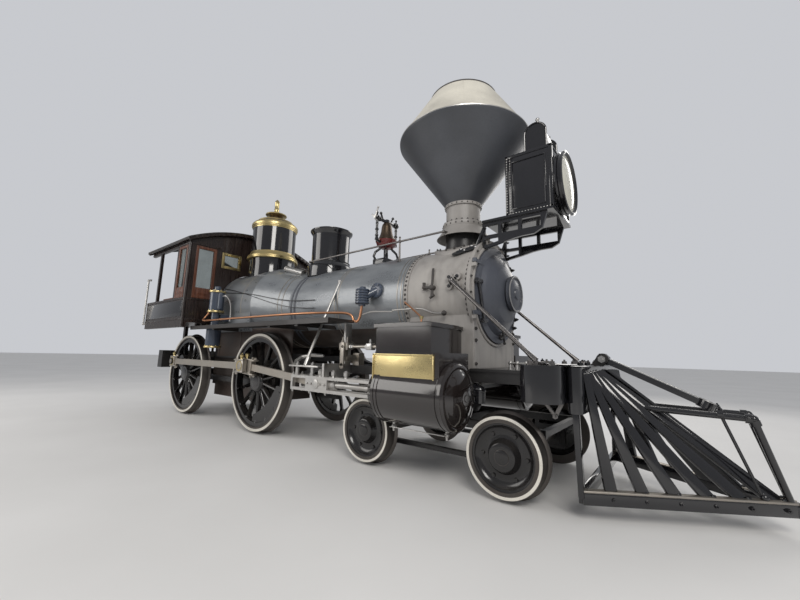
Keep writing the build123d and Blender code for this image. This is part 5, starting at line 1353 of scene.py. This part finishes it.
class LOCO_OT_cab(bpy.types.Operator):
    """Window frames and panes, mouldings, the blank side panels and the rear handrails"""
    bl_idname = "loco.cab"
    bl_label = "Cab"
    sill, head = 1.985, 2.9
    small_window, small_width, small_height = 2.735, 0.36, 0.29
    arch_inset, arch_drop = 0.014, 0.04
    gate = [(0, 0), (70, 0), (70, 30), (45, 45), (45, 140), (0, 140)]
    dial = [(0, 0), (95, 0), (100, 12), (95, 50), (80, 55), (0, 50)]

    def execute(self, context):
        front = BOX["cab_front_wall"][1].x
        half = CAB_HIGH.y
        self.windows(front, half)
        self.mouldings(front, CAB_LOW.x, half)
        self.handrails(CAB_LOW.x - 0.055, half + 0.012)
        low, high = BOX["cab_roof"]
        roof = Piece()
        for x in (low.x, high.x - 0.03):
            self.arch(roof, x, 0.03)
        for sign in SIGNS:
            y = sign * (high.y - self.arch_inset)
            roof.bar((low.x, y, low.z + 0.012), (high.x, y, low.z + 0.012), 0.036, 0.024, Z, 0.006)
        roof.done("cab_roof_edges", "cab_wood")
        self.backhead()
        return {"FINISHED"}

    def windows(self, front, half):
        """Tall and small windows of the front wall, and a tall one in each side."""
        frames, pale, panes = Piece(), Piece(), Piece()
        height, middle_z = self.head - self.sill, RAIL_TOP + (self.sill + self.head) / 2
        for sign in SIGNS:
            tall = Vector((front - 0.021, sign * 0.965, middle_z))
            small = Vector((front - 0.021, sign * 0.51, RAIL_TOP + self.small_window))
            side = Vector((front - 0.262, sign * (half - 0.021), middle_z))
            self.sash(frames, panes, tall, Y, 0.35, height)
            self.sash(pale, panes, small, Y, self.small_width, self.small_height)
            self.sash(frames, panes, side, X, 0.36, height)
        frames.done("cab_window_frames", "mahogany")
        pale.done("cab_small_window_frames", "brass")
        panes.done("cab_window_panes", "window_glass")

    def sash(self, frames, panes, centre, along, width, height):
        """Window frame with its pane, set in the wall."""
        for end in (-1, 1):
            edge = centre + along * end * (width / 2 - 0.024)
            frames.bar(edge - Z * height / 2, edge + Z * height / 2, 0.048, 0.054, along, 0.005)
            rail = centre + Z * end * (height / 2 - 0.024)
            frames.bar(rail - along * width / 2, rail + along * width / 2, 0.048, 0.052, Z, 0.005)
        if height > self.small_height:
            low = centre - Z * (height / 2 - 0.115)
            frames.bar(low - along * width / 2, low + along * width / 2, 0.14, 0.046, Z, 0.005)
            low -= Z * 0.005
            reach = along * (width / 2 - 0.07)
            frames.bar(low - reach, low + reach, 0.07, 0.058, Z, 0.01)
        half = Z * (height / 2 - 0.02)
        panes.bar(centre - half, centre + half, width - 0.03, 0.006, along, 0.001)

    def mouldings(self, front, rear, half):
        """Rails and posts on the walls, the round front corners, and the blank panel on each side."""
        trim, panel = Piece(), Piece()
        floor = CAB_LOW.z
        for sign in SIGNS:
            y = sign * half
            for z, thick in ((floor + 0.015, 0.03), (RAIL_TOP + 1.96, 0.026), (RAIL_TOP + 2.925, 0.03)):
                trim.bar((rear + 0.004, y, z), (front, y, z), thick, 0.018, Z, 0.005)
                trim.bar((front, sign * 0.735, z), (front, y, z), thick, 0.018, Z, 0.005)
            for x in (front - 0.028, rear + 0.035):
                trim.bar((x, y, floor + 0.02), (x, y, RAIL_TOP + 1.95), 0.045, 0.014, X, 0.004)
            corner = Vector((front - 0.01, sign * (half - 0.008), 0))
            trim.rod(corner + Z * (floor - 0.1), corner + Z * (RAIL_TOP + self.head + 0.08), 0.024, sides=16)
            panel.block((rear + 0.07, sign * (half + 0.001), floor + 0.06),
                        (front - 0.06, sign * (half + 0.01), RAIL_TOP + 1.925))
        trim.done("cab_mouldings", "cab_wood")
        panel.done("cab_side_panels")

    def handrails(self, x, y):
        """Upright rail behind each side, on two brackets."""
        rails = Piece()
        for sign in SIGNS:
            low, high = (Vector((x, sign * y, RAIL_TOP + z)) for z in (1.58, 2.441))
            rails.rod(low, high, 0.016)
            for spot in (low, high):
                rails.ball(spot, 0.024, detail=12).rod(spot, spot + X * 0.07, 0.013, 0.013, 12)
                rails.rod(spot + X * 0.06, spot + X * 0.06 - Y * sign * 0.03, 0.018, 0.022, 12)
        rails.done("cab_handrails", "bright_steel")

    def arch(self, roof, x, depth):
        """Moulding under the end of the arched roof."""
        low, high = BOX["cab_roof"]
        half, rise = high.y - self.arch_inset, high.z - self.arch_drop - low.z
        radius = (half ** 2 + rise ** 2) / (2 * rise)
        centre = (x, 0, high.z - self.arch_drop - radius)
        spread = math.degrees(math.asin(half / radius))
        points = [polar(centre, radius, angle, Z, Y) for angle in around(25, -spread, spread * 27 / 25)]
        for start, end in zip(points, points[1:]):
            roof.bar(start + X * depth / 2, end + X * depth / 2, 0.052, depth, (end - start).cross(X), 0.004)

    def backhead(self):
        """Throttle, gauge cocks, pressure dial and reversing lever in the cab."""
        rear = Vector((BOX["firebox"][0].x, 0, WAGON_Z))
        gate = rear + Z * 0.32
        bar = gate - X * 0.11
        works = Piece().lathe(self.gate, gate, -X, 32)
        works.rod(bar + Y * 0.24, bar - Y * 0.26, 0.014).ball(bar - Y * 0.27, 0.026)
        for step in range(3):
            cock = rear + Vector((0, -0.36, 0.02 + step * 0.12))
            works.rod(cock, cock - X * 0.1, 0.013)
            works.rod(cock - X * 0.07 - Z * 0.04, cock - X * 0.07 + Z * 0.05, 0.009)
        dial = rear + Vector((-0.05, 0.18, 0.62))
        works.lathe(self.dial, dial, -X, 40).rod(dial + X * 0.05, dial, 0.02)
        works.done("backhead_fittings", "brass")
        foot = Vector((rear.x - 0.32, -0.6, CAB_LOW.z))
        quadrant = foot + Vector((0, 0.02, 0.45))
        grip = foot + Vector((0.12, 0, 0.92))
        lever = Piece().bar(foot, grip, 0.045, 0.018, X, 0.004)
        lever.rod(grip, grip + Vector((0.015, 0, 0.11)), 0.018, 0.014)
        lever.bar(quadrant - X * 0.18, quadrant + X * 0.34, 0.05, 0.012, Z, 0.004)
        for x in (-0.17, 0.33):
            lever.bar(quadrant + X * x - Z * 0.45, quadrant + X * x, 0.03, 0.012, X)
        lever.done("reversing_lever", "bright_steel")


class LOCO_OT_pump(bpy.types.Operator):
    """Bands, valve gear and copper pipes of the air pump, and the boiler check valve"""
    bl_idname = "loco.pump"
    bl_label = "Air pump and pipes"
    band = [(108, -2), (129, 0), (131, 6), (131, 24), (127, 30), (108, 32)]
    crown = [(0, 0), (90, 0), (85, 20), (52, 30), (50, 75), (30, 88), (0, 92)]
    seat_flange = [(0, -10), (92, -10), (92, 22), (70, 30), (0, 30)]
    pipes = (
        ("pump_copper_pipe", 0.015, "copper", (
            (-1.44, -0.9, 1.76), (-1.48, -0.93, 1.69), (-1.49, -0.985, 1.615),
            (-1.42, -1.005, 1.59), (-1.25, -1.005, 1.59), (0.2, -0.99, 1.59),
            (1.2, -0.96, 1.59), (1.56, -0.8, 1.592), (1.7, -0.735, 1.59),
            (1.765, -0.705, 1.56), (1.79, -0.7, 1.5), (1.83, -0.7, 1.478),
            (1.88, -0.7, 1.5), (1.905, -0.7, 1.58), (1.918, -0.7, 1.68))),
        ("feed_pipe", 0.009, "bright_steel", (
            (1.93, -0.7, 1.56), (1.99, -0.66, 1.6), (2.15, -0.63, 1.594), (2.3, -0.6, 1.588))),
        ("smokebox_side_pipe", 0.01, "bright_steel", (
            (2.29, -0.59, 1.604), (2.42, -0.592, 1.606), (2.6, -0.596, 1.606), (2.7, -0.592, 1.598),
            (2.78, -0.588, 1.566), (2.84, -0.58, 1.544), (2.9, -0.57, 1.54), (2.945, -0.56, 1.544))),
    )
    bends = ((0.12, 0, 1.98), (0.17, 0.03, 2.02), (0.2, 0.1, 1.98), (0.2, 0.16, 1.8),
             (0.2, 0.15, 1.59))
    conduit = ((-1.6, 0), (-1.1, 2), (-0.5, 5), (0.000, 7), (0.5, 8.5), (0.9, 9))

    def execute(self, context):
        low, high = BOX["air_pump"]
        axis = Vector(((low.x + high.x) / 2, low.y + 0.126, RAIL_TOP))
        self.pump(axis, high.z)
        for name, radius, coat, path in self.pipes:
            pipe(name, [at(*place) for place in path], radius, coat)
        for number, (drop, sag) in enumerate(((0, 4), (7, 2))):
            line = [skin(place, 150 + drop + turn * sag, 0.012) for place, turn in self.conduit]
            pipe(f"jacket_conduit_{number}", line, 0.006, "gloss_black")
        pipe("pump_steam_pipe", [axis + Vector(bend) for bend in self.bends], 0.011, "bright_steel")
        self.check_valve()
        return {"FINISHED"}

    def pump(self, axis, top_z):
        """Brass bands, crown, rod and valve chest of the pump."""
        bands = Piece()
        for z in (1.15, 1.473, 1.73, 2.063):
            bands.lathe(self.band, axis + Z * z, Z, 56)
            for angle in around(8):
                bands.bolt(polar(axis + Z * (z + 0.03), 0.118, angle, X, Y), Z, 0.009, 0.009)
        bands.done("pump_bands", "brass")
        works = Piece().lathe(self.crown, (axis.x, axis.y, top_z), Z, 40)
        works.rod(axis + Z * 1.5, axis + Z * 1.73, 0.026).ring(0.026, 0.024, 0.026, axis + Z * 1.58, Z, 32)
        foot, top = axis + Vector((0.125, 0, 1.8)), axis + Vector((0.125, 0, 2.03))
        works.rod(foot, top, 0.036, 0.036, 24).ball(top, 0.037).ball(foot, 0.037)
        works.done("pump_works", "pump_blue")

    def check_valve(self):
        """Ribbed round body with its flange on the jacket."""
        spot = at(1.918, -0.7, 1.765)
        profile = [(0, -102), (40, -102), (44, -85), (74, -80)]
        for z in range(-70, 80, 30):
            profile += [(84, z), (84, z + 14), (72, z + 18), (72, z + 26)]
        profile += [(84, 80), (78, 96), (40, 104), (34, 122), (18, 130), (0, 130)]
        seat = skin(2.03, 172)
        check = Piece().lathe(profile, spot, Z, 56)
        check.rod(spot + Vector((0.02, 0.02, 0.01)), seat, 0.042, 0.046, 24)
        check.lathe(self.seat_flange, seat, ray(172, Y, Z), 40)
        for angle in around(6):
            check.bolt(polar(seat - Y * 0.02, 0.076, angle, X, Z), -Y)
        check.done("boiler_check_valve", "pump_blue")


class LOCO_OT_handrails(bpy.types.Operator):
    """Long rails from the sand dome to the stack, on one post each"""
    bl_idname = "loco.handrails"
    bl_label = "Handrails"
    rear, post, front = 0.44, 2.165, 2.79

    def execute(self, context):
        for side, sign in SIDES.items():
            start, end = at(self.rear, sign * 0.345, 2.478), at(self.front, sign * 0.325, 2.508)
            spot = start.lerp(end, (self.post - self.rear) / (self.front - self.rear))
            foot = Vector((spot.x, spot.y, round_top(BARREL_RADIUS, spot.y) - 0.01))
            rail = Piece().rod(start, end, 0.012).ball(start, 0.02, detail=12).ball(end, 0.02, detail=12)
            rail.rod(start, start - Y * sign * 0.06, 0.012, 0.018, 12)
            rail.rod(end, end + Vector((0.03, -sign * 0.09, 0)), 0.012, 0.016, 12)
            rail.rod(foot, spot + Z * 0.05, 0.013, 0.01, 12).ball(spot, 0.021, detail=12)
            rail.ball(spot + Z * 0.052, 0.013, detail=10).rod(foot, foot + Z * 0.03, 0.03, 0.02, 16)
            rail.done(f"long_handrail_{side}", "dark_steel")
        return {"FINISHED"}


class LOCO_OT_front(bpy.types.Operator):
    """Nuts and straps on the beam, and the pilot's bolts, straps, posts and rail joints"""
    bl_idname = "loco.front"
    bl_label = "Beam and pilot"
    rail_y = 0.15
    foot_z, bar_z, under_z = 0.188, 0.142, 0.096
    elbow = Vector((NOSE_X - 0.2, rail_y, RAIL_TOP + 0.728))
    tip = Vector((NOSE_X - 0.05, 0.024, RAIL_TOP + foot_z))
    nuts = ((-0.23, 0.94), (-0.07, 0.94), (-0.23, 0.8), (-0.07, 0.6), (-0.23, 0.52), (-0.07, 0.3))
    deck_cocks = ((3.56, 0.38), (3.64, 0.42), (3.7, 0.36))
    bar_droop = 25.5

    def execute(self, context):
        self.beam()
        self.pilot()
        self.nose_rails()
        self.coupling()
        self.stays()
        return {"FINISHED"}

    def beam(self):
        """Washers, nuts and straps on top of the beam."""
        top = BEAM_HIGH.z
        nuts, straps = Piece(), Piece()
        for side in SIGNS:
            for x, y in self.nuts:
                spot = Vector((BEAM_HIGH.x + x, side * y, top))
                nuts.rod(spot, spot + Z * 0.01, 0.03, 0.03, 20).bolt(spot + Z * 0.01, Z, 0.02, 0.022)
            straps.block((BEAM_LOW.x + 0.02, side * 0.66 - 0.045, top - 0.001),
                         (BEAM_HIGH.x + 0.004, side * 0.66 + 0.045, top + 0.012), 0.003)
        nuts.done("beam_nuts", "dark_steel")
        straps.block((BEAM_LOW.x + 0.18, -0.86, top - 0.001),
                     (BEAM_HIGH.x + 0.02, 0.86, top + 0.01), 0.003)
        straps.done("beam_straps")

    def stays(self):
        """Forked stays under the beam and the small cocks on the deck."""
        stays, arms = Piece(), Piece()
        deck = BOX["front_deck"][1].z - 0.002
        for side in SIGNS:
            low = Vector((BEAM_HIGH.x - 0.155, side * 0.59, BEAM_LOW.z - 0.14))
            for x in (-0.265, -0.085):
                stays.bar((BEAM_HIGH.x + x, side * 0.59, BEAM_LOW.z + 0.004), low, 0.03, 0.014, X, 0.004)
            stays.bolt(low, Y * side, 0.022, 0.018)
            for x, y in self.deck_cocks:
                spot = Vector((MAIN.x + x, side * y, deck))
                head = spot + Z * 0.06
                arms.rod(spot, spot + Z * 0.05, 0.02, 0.014, 16).ball(head, 0.02, detail=12)
                arms.rod(head, head + X * 0.07, 0.009, sides=12)
        stays.done("beam_stays", "dark_steel")
        arms.done("deck_cocks", "bright_steel")

    def mirrored(self, place, side):
        """The same place on the side asked for."""
        return Vector((place.x, place.y * side, place.z))

    def pilot(self):
        """Head, corner posts, foot bars, tapering slats and nose rails, with the slats' bolts, and bright
        steel straps on the foot bars that paint the highlight along their top edges.
        """
        mid_x, head_x = BEAM_HIGH.x + 0.05, BEAM_HIGH.x + 0.1
        head_low, head_high = RAIL_TOP + 0.723, RAIL_TOP + 1.05
        under, over_bars = RAIL_TOP + self.under_z, RAIL_TOP + self.foot_z
        cow, slats, bolts, straps = Piece(), Piece(), Piece(), Piece()
        outline = []
        for y, first in ((0.825, 0), (-0.825, 180)):
            bend = around(13, first, first + 195)
            outline += [polar((mid_x, y, head_low), 0.05, angle, X, Y) for angle in bend]
        cow.plate(outline, Z * (head_high - head_low))
        cow.block((NOSE_X - 0.09, -0.03, under), (NOSE_X, 0.03, over_bars), 0.006)
        cow.block((mid_x - 0.026, -0.75, under), (mid_x + 0.022, 0.75, over_bars), 0.006)
        for side in SIGNS:
            rear = Vector((BEAM_HIGH.x + 0.048, side * 0.75, RAIL_TOP + self.bar_z))
            nose = Vector((NOSE_X - 0.03, side * 0.008, RAIL_TOP + self.bar_z))
            along = nose - rear
            out = Vector((-along.y * side, along.x * side, 0)).normalized()
            cow.bar(rear, nose, 0.048, 0.092, Y, 0.008)
            cow.bar((rear.x, side * 0.8125, head_low + 0.01), rear, 0.06, 0.04, Y, 0.008)
            root = Vector((head_x - 0.005, side * self.rail_y, RAIL_TOP + 0.742))
            elbow, tip = self.mirrored(self.elbow, side), self.mirrored(self.tip, side)
            cow.rod(root, elbow, 0.022).rod(elbow, tip, 0.022).ball(elbow, 0.0225)
            # steel strap and thin rod on each foot bar's top; their bright steel paints the highlight on the
            # glossy bar's rounded edge
            straps.bar(rear + Z * 0.05, nose + Z * 0.05, 0.056, 0.01, out, 0.004)
            highlight_edge = out * 0.022 + Z * 0.046
            straps.rod(rear + highlight_edge, nose + highlight_edge, 0.009, sides=12)
            for share in around(6, 0, 1.2):
                foot = rear.lerp(nose, 0.148 + share * 0.807)
                top = Vector((head_x + 0.0075, side * (0.74 - share * 0.56), RAIL_TOP + 1.01))
                slats.bar(top, foot, 0.048, 0.032, along, 0.005, tip=0.084)
                bolts.bolt(foot + out * 0.022, out, 0.017, 0.014)
                bolts.rod(foot + Z * 0.054, foot + Z * 0.066, 0.015, 0.012, 12)
                bolts.rivet(top + X * 0.01 - Z * 0.004, X + Z * 0.4, 0.014)
        cow.done("pilot_frame", replaces=["pilot"])
        slats.done("pilot_slats")
        straps.done("pilot_foot_straps_painted_highlight", "rod_steel")
        bolts.done("pilot_bolts")
        plate = Piece()
        plate.block((BEAM_HIGH.x + 0.004, -0.8, head_high - 0.001),
                    (head_x - 0.004, 0.8, head_high + 0.01), 0.003)
        for y in (-0.62, -0.36, 0.3, 0.62):
            plate.bolt((mid_x, y, head_high + 0.01), Z, 0.022, 0.024)
        lug = Vector((mid_x, 0.46, head_high))
        plate.ball(lug + Z * 0.062, 0.03).rod(lug, lug + Z * 0.05, 0.014, sides=12)
        plate.done("pilot_head_plate")

    def nose_rails(self):
        """Ferrules, joints and thin posts of the two rails over the nose."""
        rails = Piece()
        for side in SIGNS:
            root = Vector((BEAM_HIGH.x + 0.13, side * self.rail_y, RAIL_TOP + 0.741))
            elbow, tip = self.mirrored(self.elbow, side), self.mirrored(self.tip, side)
            down = (tip - elbow).normalized()
            rails.rod(elbow - X * 0.045, elbow - X * 0.005, 0.032, 0.032, 20)
            rails.rod(elbow + down * 0.005, elbow + down * 0.045, 0.032, 0.032, 20).ball(elbow, 0.029)
            rails.bolt(elbow - X * 0.03 + Y * side * 0.03, Y * side, 0.016, 0.016)
            rails.rod(root, root + X * 0.06, 0.036, 0.028, 20)
            post = Vector((4.067, side * self.rail_y, RAIL_TOP + 0.745))
            foot = Vector((4.254, side * 0.114, RAIL_TOP + 0.185))
            rails.rod(post, foot, 0.01, sides=12).rod(post - X * 0.018, post + X * 0.018, 0.03, 0.03, 16)
            rails.bolt(post + Z * 0.022, Z, 0.016, 0.018).ball(foot + Z * 0.026, 0.027)
        rails.done("nose_rail_joints")

    def coupling(self):
        """Bright strip on top of the coupling bar, a painted highlight of its upper edge, the bright ring at
        its eye, and the nuts of its pin.
        """
        pin = PIVOT["coupling_bar_pin"]
        way, up = ray(-self.bar_droop, X, Z), ray(90 - self.bar_droop, X, Z)
        top = pin + up * 0.0285
        # thin bright strip on the bar's top: painted highlight along its upper edge
        bar = Piece().bar(top + way * 0.06, top + way * 0.7, 0.04, 0.006, Y, 0.002)
        bar.lathe([(30, 26), (56, 26), (54, 34), (32, 34)], pin + way * 0.76, up, 40)
        bar.done("coupling_bar_highlight_strip", "bright_steel", "coupling_bar")
        ends = Piece()
        for side in SIGNS:
            ends.bolt(pin + Y * side * 0.058, Y * side, 0.034, 0.026)
        ends.done("coupling_pin_nuts", "bright_steel")


class LOCO_OT_stage(bpy.types.Operator):
    """Pale floor, soft light and the camera at the photograph's angle"""
    bl_idname = "loco.stage"
    bl_label = "Stage"
    sky_colour, lamp_colour = (0.93, 0.95, 1.0), (1.0, 0.97, 0.93)
    lamps = (("key_lamp", (7.5, -7.0, 7.5), (0.5, 0, 1.4), 1.0, 4.0),
             ("fill_lamp", (-6.5, -8.5, 5.0), (-1.5, 0, 1.2), 0.7, 6.0),
             ("rim_lamp", (2.0, 8.0, 6.5), (0.5, 0, 1.8), 0.5, 5.0))

    def execute(self, context):
        view = context.scene.loco_view
        self.floor(context)
        self.sky(context, view)
        for name, spot, aim, share, size in self.lamps:
            lamp = bpy.data.lights.new(name, "AREA")
            lamp.energy = view.key * share
            lamp.size = size
            lamp.color = self.lamp_colour
            holder = bpy.data.objects.new(name, lamp)
            context.scene.collection.objects.link(holder)
            holder.location = spot
            holder.rotation_euler = (Vector(aim) - Vector(spot)).to_track_quat("-Z", "Y").to_euler()
        self.camera(context, view)
        context.scene.view_settings.view_transform = "Standard"
        return {"FINISHED"}

    def floor(self, context):
        """Plain pale floor."""
        bpy.ops.mesh.primitive_plane_add(size=160, location=(0, 0, 0))
        floor = context.object
        floor.name = "stage_floor"
        shader = Shader("stage_floor")
        cloud = shader.noise(0.6)
        shader.finish(shader.mix(cloud, (0.7, 0.69, 0.67), (0.74, 0.73, 0.71)), 0.75)
        floor.data.materials.append(shader.material)

    def sky(self, context, view):
        """Soft sky, dimmer in reflections, and paler where the camera sees it."""
        world = bpy.data.worlds.new("soft_sky")
        context.scene.world = world
        shader = Shader("soft_sky", world)
        straight, through, shine = (
            shader.node("LightPath", output=f"Is {kind} Ray")
            for kind in ("Camera", "Transmission", "Glossy"))
        seen = straight + through
        strength = view.sky - shine * view.dim
        light = shader.node("Background", None, {"Color": self.sky_colour, "Strength": strength})
        pale = shader.node("Background", None, {"Color": self.sky_colour, "Strength": view.backdrop})
        surface = shader.node("MixShader", None, {0: seen, 1: light, 2: pale})
        shader.node("OutputWorld", None, {"Surface": surface})

    def camera(self, context, view):
        """Camera that stands and leans as the photographer's did."""
        forward = ray(math.degrees(view.tilt), ray(math.degrees(view.heading), X, Y), Z)
        level = forward.cross(Z).normalized()
        upright = level.cross(forward)
        lean = math.degrees(view.roll)
        right, above = ray(lean, level, upright), ray(lean, upright, -level)
        camera = bpy.data.cameras.new("photo_camera")
        camera.sensor_width = 36
        camera.lens = view.lens
        camera.clip_start = 0.05
        camera.clip_end = 300
        holder = bpy.data.objects.new("photo_camera", camera)
        context.scene.collection.objects.link(holder)
        turn = Matrix((right, above, -forward)).transposed().to_4x4()
        holder.matrix_world = Matrix.Translation(view.place) @ turn
        context.scene.camera = holder


class LOCO_PT_panel(bpy.types.Panel):
    """Lists the locomotive's pieces in the order in which they are made"""
    bl_idname = "LOCO_PT_panel"
    bl_label = "Locomotive"
    bl_space_type = "VIEW_3D"
    bl_region_type = "UI"
    bl_category = "Locomotive"

    def draw(self, context):
        for group in (context.scene.loco_sizes, context.scene.loco_view):
            for key in group.__annotations__:
                self.layout.prop(group, key)
        for maker in MAKERS:
            self.layout.operator(maker.bl_idname)


MAKERS = (
    LOCO_OT_stage, LOCO_OT_node_finishes, LOCO_OT_smokebox, LOCO_OT_boiler_bands, LOCO_OT_stack,
    LOCO_OT_steam_dome, LOCO_OT_sand_dome, LOCO_OT_bell, LOCO_OT_headlamp, LOCO_OT_cylinders, LOCO_OT_rods,
    LOCO_OT_guides, LOCO_OT_wheels, LOCO_OT_cab, LOCO_OT_pump, LOCO_OT_handrails, LOCO_OT_front,
)
CLASSES = (LocomotiveSizes, LocomotiveView, *MAKERS, LOCO_PT_panel)


def register():
    """Register the classes and hang the sizes on the scene."""
    for kind in CLASSES:
        bpy.utils.register_class(kind)
    bpy.types.Scene.loco_sizes = bpy.props.PointerProperty(type=LocomotiveSizes)
    bpy.types.Scene.loco_view = bpy.props.PointerProperty(type=LocomotiveView)


def unregister():
    """Take the classes away again."""
    del bpy.types.Scene.loco_view
    del bpy.types.Scene.loco_sizes
    for kind in reversed(CLASSES):
        bpy.utils.unregister_class(kind)


def main():
    """Register the classes, then make every piece in order."""
    register()
    for maker in MAKERS:
        group, name = maker.bl_idname.split(".")
        getattr(getattr(bpy.ops, group), name)()


if __name__ == "__main__":
    main()
